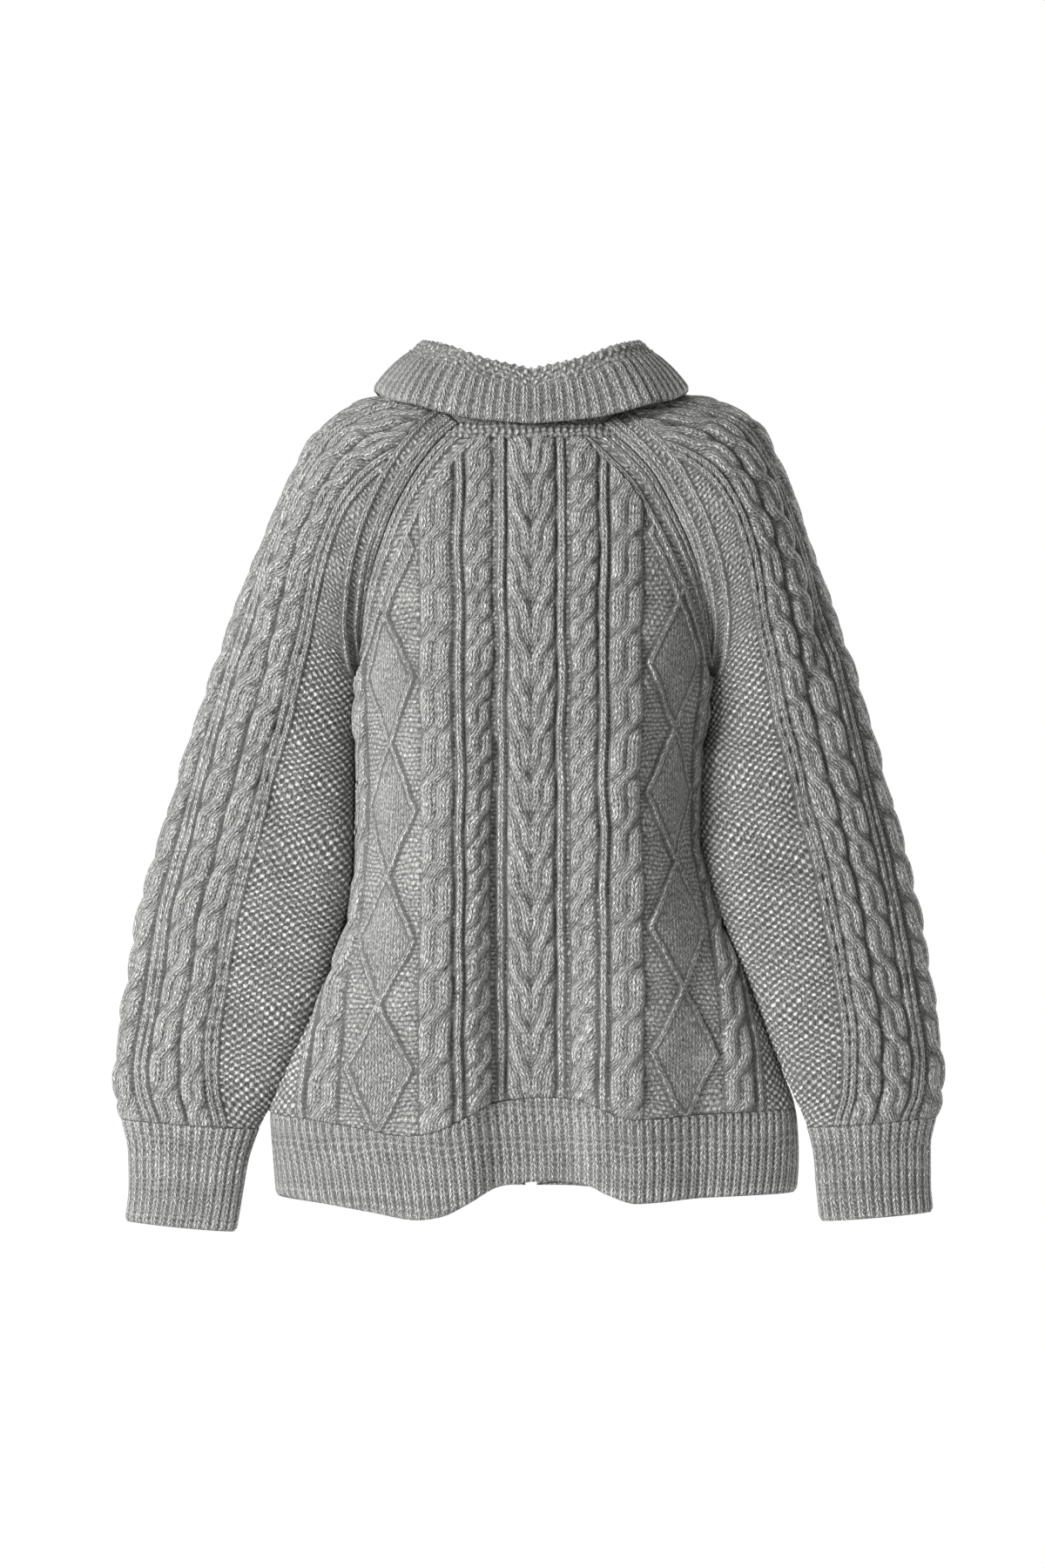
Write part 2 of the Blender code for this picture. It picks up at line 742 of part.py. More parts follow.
def welt(name, face, start, stop, side_ends):
    """Ribbing below a panel, from one distance around to another. side_ends are the ends at a side vent."""
    pairs = []
    top = welt_columns(face, start(BODY_DROP), stop(BODY_DROP))
    high = np.where(np.arange(len(top)) % 2, RIBBING, GROUND)
    drop = swing(face, top, BODY_DROP)
    for depth in (SEAM_GAP + 0.1, WELT):
        base = BODY_DROP + depth
        around = top if depth < 1 else np.linspace(start(base), stop(base), len(top))
        sewn = around if depth < 1 else around[::2]
        rows = panel_row(face, around, high, drop + depth, level=True, inside=sewn)
        for end in side_ends:
            for _, points in rows:
                points[end] += (0.0, FACE[face] * SLIT, 0.0)
        pairs.append(rows)
    return wall(name, pairs, "knit", inner_step=1)


def vent_end(side, face, opening):
    """A welt's end at its side vent, which opens a little towards the hem."""
    quarter = QUARTERS[side, face]

    def end(base):
        share = (base - BODY_DROP) / WELT
        return SIGN[side] * (float(quarter.side_seam(min(base, BODY_DROP + WELT))) - opening * share)

    return end


def seam_normal(station, ground, normal):
    """A sleeve's thickness is level at its two ends, so that the next piece lies face to face with it."""
    if station == 0:
        return neck_out(ground)
    if station >= SLEEVE_END:
        return unit(normal * (1.0, 1.0, 0.0))
    return normal


def sleeve_row(side, station, row=0):
    """Outer and inner rows of a sleeve's section, from its back edge over the top line to its front edge."""
    parts = []
    turns = np.linspace(0, 1, 241)
    for face in FACE:
        points = sleeve_point(side, face, station, turns)
        length = np.concatenate([[0], np.cumsum(np.linalg.norm(np.diff(points, axis=0), axis=1))])
        if station >= SLEEVE_END:
            at = np.linspace(0, length[-1], CUFF_RIBS + 1)[:-1]
            high = np.where(np.arange(CUFF_RIBS) % 2, GROUND, RIBBING * (station > SLEEVE_END))
        else:
            at, high = half_columns("sleeve", row, length[-1], station <= UNDERARM, diamonds=False)
            high = high * (station > 0)
        parts.append((face, length, at, high))
    keys, outer_points, inner_points = [], [], []
    for face, length, at, high in parts:
        at = np.append(at, length[-1])
        high = np.append(high, GROUND)
        if face == "front":
            at, high = at[1:], high[1:]
        turn = np.interp(at, length, turns)
        ground = sleeve_point(side, face, station, turn)
        normal = sleeve_normal(side, face, station, turn)
        keys.append(FACE[face] * at)
        outer_points.append(ground + seam_normal(station, ground, normal) * high[:, None])
    outer_keys = np.concatenate([keys[0][::-1], keys[1]])
    outer = np.concatenate([outer_points[0][::-1], outer_points[1]])
    sewn = station == 0 or abs(station - SLEEVE_END) < 0.01
    inner_keys = outer_keys if sewn else inner_columns(outer_keys)
    if station > SLEEVE_END + 0.01:
        inner_keys = outer_keys[::2]
    inner = []
    for key in inner_keys:
        face, length = next((f, span) for f, span, _, _ in parts if FACE[f] * key >= 0)
        turn = float(np.interp(abs(key), length, turns))
        ground = sleeve_point(side, face, station, turn)
        normal = sleeve_normal(side, face, station, turn)
        inner.append(ground - seam_normal(station, ground, normal) * WALL)
    rows = [(outer_keys, outer), (inner_keys, np.array(inner))]
    for end, face in ((0, "back"), (-1, "front")):
        if station <= UNDERARM:
            seam, out, to_sleeve = seam_frame(side, face, station)
            underarm = np.array([0.0, FACE[face] * SLIT if station == UNDERARM else 0.0, 0.0])
            set_end(rows, end, seam, out, to_sleeve + underarm)
        else:
            seam = sleeve_point(side, face, station, 1.0)
            out = np.array([-SIGN[side], 0.0, 0.0])
            set_end(rows, end, seam, out, np.array([0.0, FACE[face] * SLIT, 0.0]))
    return rows


def sleeve(side):
    stations = np.concatenate([
        np.linspace(0, UNDERARM, YOKE_ROWS + 1), np.linspace(UNDERARM, SLEEVE_END, TUBE_ROWS + 1)[1:]])
    rows = [sleeve_row(side, station, row) for row, station in enumerate(stations)]
    return wall(f"sleeve_{side}", rows, "knit")


def cuff(side):
    stations = (SLEEVE_END + 0.006, SLEEVE_END + 0.3, CUFF_END)
    rows = [sleeve_row(side, station) for station in stations]
    return wall(f"cuff_{side}", rows, "knit", inner_step=1)


def neck_line(side):
    """The neck seam of one half, from centre back to centre front, at the panels' own columns."""
    back_end, drop = QUARTERS[side, "back"].raglan(0)
    at, _ = half_columns("back", 0, back_end, True)
    line = [torso_point("back", SIGN[side] * at, np.full(len(at), drop))]
    turns = np.linspace(0, 1, 241)
    for face, order in (("back", -1), ("front", 1)):
        points = sleeve_point(side, face, 0.0, turns)
        length = np.concatenate([[0], np.cumsum(np.linalg.norm(np.diff(points, axis=0), axis=1))])
        at, _ = half_columns("sleeve", 0, length[-1], True, diamonds=False)
        turn = np.interp(np.append(at, length[-1]), length, turns)[::order]
        line.append(sleeve_point(side, face, 0.0, turn)[int(face == "front"):])
    front_end, front_first = QUARTERS[side, "front"].raglan(0)
    at = np.concatenate([[ZIP_OPENING], half_columns("front", 0, front_end, True)[0]])[::-1]
    drops = front_drop(front_first, FRONT_NECK_DROP, at, front_end)
    line.append(torso_point("front", SIGN[side] * at, drops))
    return np.concatenate(line)


def collar_path(side, share):
    """The middle of the collar's cloth at one place: up the stand, over the fold, down the fall."""
    line = neck_line(side)
    length = np.concatenate([[0], np.cumsum(np.linalg.norm(np.diff(line, axis=0), axis=1))])
    near = (share + np.array([0.0, -0.01, 0.01])).clip(0, 1) * length[-1]
    neck, before, after = np.stack([np.interp(near, length, line[:, k]) for k in range(3)], axis=-1)
    sign = np.array([SIGN[side], 1.0, 1.0])
    fold = sign * [float(read(COLLAR, c, share)) for c in ("fold_x", "fold_y", "fold_z")]
    edge = sign * [float(read(COLLAR, c, share)) for c in ("edge_x", "edge_y", "edge_z")]
    out = unit((edge - fold) * (1.0, 1.0, 0.0))
    up = np.array([0.0, 0.0, 1.0])
    off_seam = unit(np.cross(after - before, neck_out(neck)))
    off_seam = off_seam if off_seam[2] > 0 else -off_seam
    foot = neck - neck_out(neck) * WALL / 2 + off_seam * (SEAM_GAP + 0.3)
    centre = fold - up * FOLD_RADIUS
    bend = [centre + FOLD_RADIUS * (math.cos(a) * out + math.sin(a) * up) for a in np.radians((180, 90, 0))]
    belly = (bend[-1] + edge) / 2 + out * 2.0 + up * 2.5
    return np.array([foot, *bend, belly, edge])


def collar():
    columns = 2 * COLLAR_RIBS + 1
    shares = np.linspace(-1, 1, columns)
    paths = np.array([collar_path("left" if s < 0 else "right", abs(s)) for s in shares])
    around = np.gradient(paths, axis=0)
    along = np.gradient(paths, axis=1)
    face = unit(np.cross(along, around))
    face[:, 0] = -neck_out(paths[:, 0])
    high = np.where(np.arange(columns) % 2, RIBBING, GROUND)
    high[[0, -1]] = GROUND
    thin = np.arange(0, columns, 2)
    pairs = []
    for k in range(paths.shape[1]):
        raised = high * (0.0 if k == 0 else 1.0)
        outer = paths[:, k] + face[:, k] * (COLLAR_WALL / 2 + raised)[:, None]
        inner = paths[thin, k] - face[thin, k] * COLLAR_WALL / 2
        pairs.append([(shares, outer), (shares[thin], inner)])
    return wall("collar", pairs, "knit", inner_step=1)


def box(name, low, high, material):
    mesh = bmesh.new()
    bmesh.ops.create_cube(mesh, size=1.0)
    for vert in mesh.verts:
        vert.co = [((a + b) / 2 + (b - a) * c) * MM for a, b, c in zip(low, high, vert.co)]
    return finish(name, mesh, material)


def centre_front(drop):
    """How far forward the fronts' outer ground is beside the zip."""
    return float(torso_point("front", np.array(0.0), np.array(float(drop)))[1])


def zip_rows(top, bottom):
    """Drops down the centre front, at the fronts' own rows between the two given ones."""
    yoke = np.linspace(0, UNDERARM, YOKE_ROWS + 1)[::2]
    seam_drops = np.array([QUARTERS["left", "front"].raglan(station)[1] for station in yoke])
    share = (seam_drops - seam_drops[0]) / (seam_drops[-1] - seam_drops[0])
    upper = FRONT_NECK_DROP + (seam_drops[-1] - FRONT_NECK_DROP) * share
    lower = np.linspace(seam_drops[-1], BODY_DROP + 2, LOWER_ROWS // 2 + 1)[1:]
    drops = np.concatenate([upper, lower, ZIP_WELT_ROWS])
    drops = drops[(drops > top + 5) & (drops < bottom - 1)]
    return np.concatenate([[top], drops, [bottom]])


def strip(name, first, last, behind, thickness, top, bottom, material):
    """A strip that runs down the centre front, some way behind the fronts' outer ground."""
    mesh = bmesh.new()
    rings = []
    for drop in zip_rows(top, bottom):
        y = centre_front(drop) - behind
        corners = ((first, y), (last, y), (last, y - thickness), (first, y - thickness))
        rings.append([mesh.verts.new((x * MM, v * MM, -drop * MM)) for x, v in corners])
    for a, b in zip(rings, rings[1:]):
        for k in range(4):
            mesh.faces.new((a[k], a[(k + 1) % 4], b[(k + 1) % 4], b[k]))
    mesh.faces.new(rings[0])
    mesh.faces.new(rings[-1])
    bmesh.ops.recalc_face_normals(mesh, faces=mesh.faces)
    return finish(name, mesh, material)


def lie(piece, top, bottom, behind):
    """Lays a piece on the zip between two drops, with its own Y = 0 on the given surface and Z = 0 midway."""
    high, low = centre_front(top), centre_front(bottom)
    bulge = centre_front((top + bottom) / 2) - (high + low) / 2
    slope = math.atan2(low - high, bottom - top)
    middle = Vector((0, (high + low) / 2 + max(bulge, 0) - behind, -(top + bottom) / 2))
    piece.data.transform(Matrix.Translation(middle * MM) @ Matrix.Rotation(slope, 4, "X"))


def outline(name, loops, thickness, turn, material):
    """A flat piece from closed outlines, the first one round it and any others cut out of it."""
    curve = bpy.data.curves.new(name, "CURVE")
    curve.dimensions = "2D"
    curve.fill_mode = "BOTH"
    curve.extrude = thickness / 2 * MM
    for points in loops:
        spline = curve.splines.new("POLY")
        spline.points.add(len(points) - 1)
        spline.use_cyclic_u = True
        for point, (x, y) in zip(spline.points, points):
            point.co = (x * MM, y * MM, 0.0, 1.0)
    guide = bpy.data.objects.new(name + "_outline", curve)
    bpy.data.collections["Cutters"].objects.link(guide)
    guide.rotation_euler = turn
    bpy.context.view_layer.update()
    solid = guide.evaluated_get(bpy.context.evaluated_depsgraph_get())
    mesh = bmesh.new()
    mesh.from_mesh(bpy.data.meshes.new_from_object(solid))
    bmesh.ops.remove_doubles(mesh, verts=mesh.verts, dist=1e-6)
    mesh.transform(guide.matrix_world)
    bpy.data.objects.remove(guide)
    bmesh.ops.recalc_face_normals(mesh, faces=mesh.faces)
    return finish(name, mesh, material)


def pull_tab():
    """A flat tab with a window whose upper bar lies under the slider's bridge. Its pivot is at the origin."""
    top, foot = TAB_HEAD, TAB_HEAD - TAB_LENGTH
    w, c, v = TAB_HALF_WIDTH, TAB_CORNER, WINDOW_HALF_WIDTH
    rim = [(-w + c, top), (-w, top - c), (-w, foot + c), (-w + c, foot),
           (w - c, foot), (w, foot + c), (w, top - c), (w - c, top)]
    sill = -TAB_HEAD
    window = [(-v, sill), (v, sill), (v, sill - WINDOW_LENGTH), (-v, sill - WINDOW_LENGTH)]
    return outline("zip_pull_tab", [rim, window], TAB, (math.pi / 2, 0, 0), "metal")


def slider():
    """A plate on the chain, with an arched bridge that the tab's bar passes under. Y = 0 is its underside."""
    half = SLIDER_LENGTH / 2
    low_corner, high_corner = (-SLIDER_HALF_WIDTH, 0, -half), (SLIDER_HALF_WIDTH, SLIDER_PLATE, half)
    plate = box("zip_slider", low_corner, high_corner, "metal")
    low, high = SLIDER_PLATE - 0.5, SLIDER_PLATE + BRIDGE_CLEAR
    top = high + BRIDGE_BAR
    h, bar = BRIDGE_HALF_LENGTH, BRIDGE_BAR
    arch = [(low, -h), (top - 1.0, -h), (top, -h + 1.0), (top, h - 1.0), (top - 1.0, h), (low, h),
            (low, h - bar), (high, h - bar), (high, -h + bar), (low, -h + bar)]
    bridge = outline("bridge", [arch], 2 * BRIDGE_HALF_WIDTH, (math.pi / 2, 0, math.pi / 2), "metal")
    join(plate, bridge)
    return plate


def join(piece, other):
    """Unites two overlapping solids into one piece."""
    union = piece.modifiers.new("join", "BOOLEAN")
    union.operation = "UNION"
    union.object = other
    bpy.context.view_layer.update()
    data = bpy.data.meshes.new_from_object(piece.evaluated_get(bpy.context.evaluated_depsgraph_get()))
    piece.modifiers.clear()
    piece.data = data
    bpy.data.objects.remove(other)


def zip_fastener():
    behind = ZIP_BEHIND
    for side, sign in SIGN.items():
        first, last = sorted((sign * TAPE_EDGE, sign * (TAPE_EDGE + TAPE_WIDTH)))
        strip(f"zip_tape_{side}", first, last, behind, TAPE, ZIP_TOP, ZIP_BOTTOM, "tape")
    chain_face = behind - SEAM_GAP - CHAIN
    chain_end = ZIP_BOTTOM - BOX_HEIGHT - SEAM_GAP
    strip("zip_chain", -CHAIN_HALF_WIDTH, CHAIN_HALF_WIDTH, chain_face, CHAIN, ZIP_TOP, chain_end, "metal")
    low_corner, high_corner = (-BOX_HALF_WIDTH, 0, -BOX_HEIGHT / 2), (BOX_HALF_WIDTH, BOX, BOX_HEIGHT / 2)
    foot = box("zip_box", low_corner, high_corner, "metal")
    lie(foot, ZIP_BOTTOM - BOX_HEIGHT, ZIP_BOTTOM, behind - SEAM_GAP)
    on_chain = chain_face - SEAM_GAP
    lie(slider(), SLIDER_TOP, SLIDER_TOP + SLIDER_LENGTH, on_chain)
    tab = pull_tab()
    tab.data.transform(Matrix.Translation(Vector((0, SLIDER_PLATE + BRIDGE_CLEAR / 2, 0)) * MM))
    lie(tab, SLIDER_TOP, SLIDER_TOP + SLIDER_LENGTH, on_chain)


def main():
    for thing in list(bpy.data.objects):
        bpy.data.objects.remove(thing)
    for name in ("Cardigan", "Cutters"):
        group = bpy.data.collections.new(name)
        bpy.context.scene.collection.children.link(group)
    bpy.data.collections["Cutters"].hide_render = True
    back()
    for side in SIGN:
        front(side)
        sleeve(side)
        cuff(side)
    collar()
    welt("back_welt", "back", vent_end("left", "back", 9.0), vent_end("right", "back", 5.0), (0, -1))
    welt("front_welt_left", "front", vent_end("left", "front", -2.0), lambda base: -ZIP_OPENING, (0,))
    welt("front_welt_right", "front", lambda base: ZIP_OPENING, vent_end("right", "front", -2.0), (-1,))
    zip_fastener()


main()
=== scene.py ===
# %% [markdown]
# # A cabled zip cardigan
# A thick raglan cardigan, knitted in grey heather wool and filled out as worn, with nobody in it. The photograph
# shows its back, which faces -Y. The zip front faces +Y, and Z is 0 at the high shoulder points.
#
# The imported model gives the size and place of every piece. Here each knitted wall gets a finer one on the same form,
# with the cables, ribs and diamonds as real relief, and a wool material for the stitches.

# %% Load the frame
import math

import bpy
import numpy as np
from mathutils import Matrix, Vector


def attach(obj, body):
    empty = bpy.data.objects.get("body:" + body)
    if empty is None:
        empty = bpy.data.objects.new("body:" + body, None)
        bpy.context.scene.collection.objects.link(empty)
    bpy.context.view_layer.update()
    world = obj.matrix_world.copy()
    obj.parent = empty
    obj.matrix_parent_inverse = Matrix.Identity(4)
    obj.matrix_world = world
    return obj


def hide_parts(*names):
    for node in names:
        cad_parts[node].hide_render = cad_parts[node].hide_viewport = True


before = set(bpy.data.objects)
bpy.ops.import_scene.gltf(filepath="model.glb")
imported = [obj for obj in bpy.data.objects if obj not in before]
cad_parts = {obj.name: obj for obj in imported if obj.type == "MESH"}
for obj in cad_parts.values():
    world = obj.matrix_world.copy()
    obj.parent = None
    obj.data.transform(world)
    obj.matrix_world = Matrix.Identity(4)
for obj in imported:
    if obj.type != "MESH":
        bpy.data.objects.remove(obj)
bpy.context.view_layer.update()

# %% [markdown]
# ## Camera
# It stands a little above the middle of the back, far off and with a long lens, because the photograph shows almost
# no perspective. A vertical sensor makes the frame's height the one that counts.

# %% Camera
MM = 0.001
FRAME_PIXELS = (1200, 1800)
MM_PER_PIXEL = 0.757
AXIS_PIXEL = (610, 455)       # where the body's axis and the shoulder level are in the frame
CAMERA_DISTANCE = 6.5
CAMERA_RISE = 0.16
SENSOR = 36.0


def new_object(name, data):
    """An object with this data, in the scene."""
    made = bpy.data.objects.new(name, data)
    bpy.context.scene.collection.objects.link(made)
    return made


lens_data = bpy.data.cameras.new("camera")
lens_data.sensor_fit = "VERTICAL"
lens_data.sensor_height = SENSOR
lens_data.lens = SENSOR * CAMERA_DISTANCE / (FRAME_PIXELS[1] * MM_PER_PIXEL * MM)
camera = new_object("camera", lens_data)
middle_x = (FRAME_PIXELS[0] / 2 - AXIS_PIXEL[0]) * MM_PER_PIXEL * MM
middle_z = (AXIS_PIXEL[1] - FRAME_PIXELS[1] / 2) * MM_PER_PIXEL * MM
camera.location = (middle_x, -CAMERA_DISTANCE, middle_z + CAMERA_RISE)
camera.rotation_euler = (math.pi / 2 - math.atan(CAMERA_RISE / CAMERA_DISTANCE), 0, 0)
bpy.context.scene.camera = camera
print("lens", round(lens_data.lens, 1), "mm at", tuple(round(v, 3) for v in camera.location))

# %% [markdown]
# ## Writing nodes as sums
# A knitted surface is mostly arithmetic: which stitch, how far across it, how far up it. A small class round a socket
# lets that be written as plain expressions, and each operator adds the Math node that it stands for.


# %% Node arithmetic
def maths(operation, turned=False):
    """A method that adds one Math node, with its two values turned round if asked."""
    return lambda self, other: self.nodes.math(operation, *((other, self) if turned else (self, other)))


class Signal:
    """A value that varies from place to place: one output socket of a node tree."""

    def __init__(self, nodes, socket):
        self.nodes, self.socket = nodes, socket

    __add__ = __radd__ = maths("ADD")
    __mul__ = __rmul__ = maths("MULTIPLY")
    __sub__, __rsub__ = maths("SUBTRACT"), maths("SUBTRACT", turned=True)
    __truediv__, __pow__ = maths("DIVIDE"), maths("POWER")

    def math(self, operation, *others):
        return self.nodes.math(operation, self, *others)

    def clamped(self):
        return self.nodes.node("ShaderNodeClamp", {}, {"Value": self})


class Nodes:
    """A node tree. Every node comes from one method."""

    def __init__(self, tree):
        self.tree = tree

    def node(self, kind, settings, values, output=0):
        made = self.tree.nodes.new(kind)
        for key, value in settings.items():
            if key == "stops":
                self.set_stops(made.color_ramp, value)
            else:
                setattr(made, key, value)
        for key, value in values.items():
            self.put(made.inputs[key], value)
        return Signal(self, made.outputs[output]) if made.outputs else None

    def set_stops(self, ramp, stops):
        for _ in stops[2:]:
            ramp.elements.new(1.0)
        for element, (position, shade) in zip(ramp.elements, stops):
            element.position, element.color = position, shade

    def put(self, socket, value):
        if isinstance(value, Signal):
            self.tree.links.new(value.socket, socket)
        else:
            socket.default_value = value

    def math(self, operation, *values):
        return self.node("ShaderNodeMath", {"operation": operation}, dict(enumerate(values)))

    def grey(self, red, green, blue):
        return self.node("ShaderNodeCombineColor", {}, {0: red, 1: green, 2: blue})

    def noise(self, place, scale, detail=2.0, roughness=0.5):
        values = {"Vector": place, "Scale": scale, "Detail": detail, "Roughness": roughness}
        return self.node("ShaderNodeTexNoise", {}, values)


class Recipe(Nodes):
    """A material's nodes."""

    def __init__(self, name):
        self.material = bpy.data.materials.new(name)
        self.material.use_nodes = True
        super().__init__(self.material.node_tree)
        self.shader = self.tree.nodes["Principled BSDF"]

    def place(self):
        return self.node("ShaderNodeTexCoord", {}, {}, "Object")

    def part(self, vector, axis):
        return self.node("ShaderNodeSeparateXYZ", {}, {0: vector}, axis)

    def told(self, attribute):
        return self.node("ShaderNodeAttribute", {"attribute_name": attribute}, {}, "Fac")

    def set(self, **values):
        for key, value in values.items():
            self.put(self.shader.inputs[key.replace("_", " ")], value)


print("node arithmetic ready")

# %% [markdown]
# ## Light
# A white room lights the wool from all round. One large soft lamp from the upper left draws the cables' shadows, and
# a weaker twin lights the zip front. The room is white to the camera and dimmer to the cloth, so furrows stay dark.

# %% Room and lamps
WHITE = (1, 1, 1, 1)
ROOM_LIGHT = 0.44
MIDDLE = Vector((0.0, 0.0, -0.33))
LAMPS = (
    # name, place, size, power in watts
    ("lamp_back", (-2.3, -2.4, 0.60), 1.1, 180.0),
    ("lamp_front", (2.3, 2.4, 0.60), 1.1, 155.0),
)

world = bpy.data.worlds.new("room")
bpy.context.scene.world = world
world.use_nodes = True
room = Nodes(world.node_tree)
room.tree.nodes.clear()
seen = room.node("ShaderNodeBackground", {}, {"Color": WHITE})
felt = room.node("ShaderNodeBackground", {}, {"Color": WHITE, "Strength": ROOM_LIGHT})
looked_at = room.node("ShaderNodeLightPath", {}, {}, "Is Camera Ray")
blend = room.node("ShaderNodeMixShader", {}, {0: looked_at, 1: felt, 2: seen})
room.node("ShaderNodeOutputWorld", {}, {"Surface": blend})

for name, place, size, power in LAMPS:
    lamp_data = bpy.data.lights.new(name, "AREA")
    lamp_data.size, lamp_data.energy = size, power
    lamp = new_object(name, lamp_data)
    lamp.location = place
    lamp.rotation_euler = (MIDDLE - Vector(place)).to_track_quat("-Z", "Y").to_euler()
bpy.context.scene.view_settings.view_transform = "Standard"
print(len(LAMPS), "lamps")

# %% [markdown]
# ## Floor
# A plain pale disc, far enough below the hem to throw no shadow into the picture. It isn't part of the garment.

# %% Floor
FLOOR_RADIUS = 0.8
FLOOR_HEIGHT = -0.90
ring = np.linspace(0, 2 * math.pi, 97)[:-1]
points = [(FLOOR_RADIUS * math.cos(a), FLOOR_RADIUS * math.sin(a), FLOOR_HEIGHT) for a in ring]
floor_mesh = bpy.data.meshes.new("floor")
floor_mesh.from_pydata(points, [], [tuple(range(len(points)))])
pale = Recipe("pale_floor")
pale.set(Base_Color=(0.85, 0.85, 0.85, 1), Roughness=1.0, Emission_Color=WHITE, Emission_Strength=0.35)
floor_mesh.materials.append(pale.material)
floor = new_object("floor", floor_mesh)
print("floor", FLOOR_RADIUS * 2, "m across")

# %% [markdown]
# ## The wool
# Three kinds of stitch cover the garment: knit with its columns of V's, purl with its rows of little bars, and seed
# stitch with its pips. Each point says which kind it is, in the attributes "purl" and "seed", and where it is on its
# own strand of knitting, in the UV map "Knit", in metres. The heather's fibres run along the yarn on the same map.

# %% Wool
STITCH_WIDE = 0.0058
STITCH_TALL = 0.0042
SEED_WIDE = 0.0045
SEED_TALL = 0.0034
LEG_SLANT = 1.15          # how far a stitch's legs climb, in rows
WANDER_ACROSS = 0.0022
WANDER_ALONG = 0.0030
WOOL = (
    (0.0, (0.105, 0.107, 0.100, 1.0)),
    (0.5, (0.375, 0.379, 0.360, 1.0)),
    (1.0, (0.86, 0.86, 0.83, 1.0)),
)
TURN = 2 * math.pi


def stitches(recipe, across, along):
    """The height of the stitch at a point, from 0 to about 1."""
    purl, seed = recipe.told("purl"), recipe.told("seed")
    column, row = across / STITCH_WIDE, along / STITCH_TALL
    leg = (column.math("FRACT") - 0.5).math("ABSOLUTE") * 2
    step = (row + leg * LEG_SLANT).math("FRACT")
    knit = (leg * math.pi).math("SINE").clamped() ** 0.7 * ((step * math.pi).math("SINE") * 0.75 + 0.25)
    bar = (row.math("FRACT") * math.pi).math("SINE")
    bars = bar * (((column + row.math("FLOOR") * 0.5) * TURN).math("COSINE") * 0.35 + 0.65)
    pips = (across * (math.pi / SEED_WIDE)).math("COSINE") * (along * (math.pi / SEED_TALL)).math("COSINE")
    pips = (pips + 0.15).clamped() ** 0.6
    return knit * (1 - purl - seed).clamped() + bars * purl + pips * seed * 1.4


def wool(name):
    recipe = Recipe(name)
    spot = recipe.node("ShaderNodeUVMap", {"uv_map": "Knit"}, {})
    place = recipe.place()
    # A hand-knitted row is never quite even.
    wander = recipe.noise(place, 130.0, 1.0) - 0.5
    across = recipe.part(spot, 0) + wander * WANDER_ACROSS
    along = recipe.part(spot, 1) + wander * WANDER_ALONG
    stitch = stitches(recipe, across, along)
    # Short flecks lie along the yarn, with a finer fuzz between them.
    yarn = recipe.node("ShaderNodeCombineXYZ", {}, {0: across, 1: along * 0.5})
    fleck = recipe.noise(yarn, 560.0, 3.0, 0.75) - 0.5
    fuzz = recipe.noise(place, 1500.0) - 0.5
    patch = recipe.noise(place, 38.0) - 0.5
    heather = (fleck * 2.9 + fuzz * 1.4 + patch * 0.4 + 0.5).clamped()
    colour = recipe.node("ShaderNodeValToRGB", {"stops": WOOL}, {0: heather})
    # Painted shade: the colour is darkened between the stitches' legs and wherever the relief lies below its
    # surroundings, as shade would fall there.
    shade = (stitch * 0.80 + 0.40) * (recipe.told("deep") * 0.60 + 0.52)
    mix = {"data_type": "RGBA", "blend_type": "MULTIPLY"}
    shaded = recipe.node("ShaderNodeMix", mix, {0: 1.0, 6: colour, 7: recipe.grey(shade, shade, shade)}, 2)
    height = stitch + fuzz * 0.5 + fleck * 0.5
    relief = recipe.node("ShaderNodeBump", {}, {"Distance": 0.0020, "Height": height})
    recipe.set(Base_Color=shaded, Normal=relief, Roughness=0.95, Sheen_Weight=0.2, Sheen_Roughness=0.5)
    recipe.set(Specular_IOR_Level=0.15)
    return recipe.material


grey_wool = wool("grey_heather_wool")
print("wool:", len(grey_wool.node_tree.nodes), "nodes")

# %% [markdown]
# ## The form of the garment
# The same short tables as in the part's source give the form. The torso is a stack of rounded rings, each sleeve a
# row of rounded sections from neck to cuff, and the raglan seam is where the two meet. A "drop" is a depth below the
# high shoulder points and "around" a distance along the cloth from the centre line, in millimetres.

# %% Tables of the form
WALL = 3.4                # thickness of the knit's ground
SQUARENESS = 2.5          # of the torso's rings: 2 is an ellipse
BODY_DROP = 617.0         # high shoulder point to the top of the welt
WELT = 73.0
UNDERARM = 8.0            # station of the sleeve tables at the underarm
SLEEVE_END = 17.0         # station where the sleeve meets its cuff
CUFF_END = 18.0
FRONT_NECK_DROP = 80.0
FRONT_SEAM_DROP = 10.0
FRONT_SEAM_SPREAD = 8.0
FRONT_SHALLOWER = 0.12
FRONT_NECK_CURVE = 2.2
ZIP_OPENING = 5.0         # half the gap between the fronts
SIGN = {"left": -1.0, "right": 1.0}
FACE = {"back": -1.0, "front": 1.0}


def table(columns, numbers):
    """A short table, row by row. It is read by its first column."""
    columns = columns.split()
    return dict(zip(columns, np.array(numbers.replace(",", " ").split(), float).reshape(-1, len(columns)).T))


TORSO = table("drop left right back front", """
    25 104 104 64 50
    38 133 133 71 57
    67 160 160 84 72
    80 165 165 89 79
    127 168 168 103 97
    157 165 165 109 104
    191 160 162 113 110
    221 154 159 116 113
    250 150 155 117 115
    290 146 146 117 116
    337 142 142 116 116
    380 143 142 113 112
    416 146 150 110 108
    454 152 162 105 104
    499 170 183 98 99
    544 190 201 92 95
    589 212 216 85 90
    625 226 230 79 85
    660 224 232 76 81
    710 221 229 74 79""")

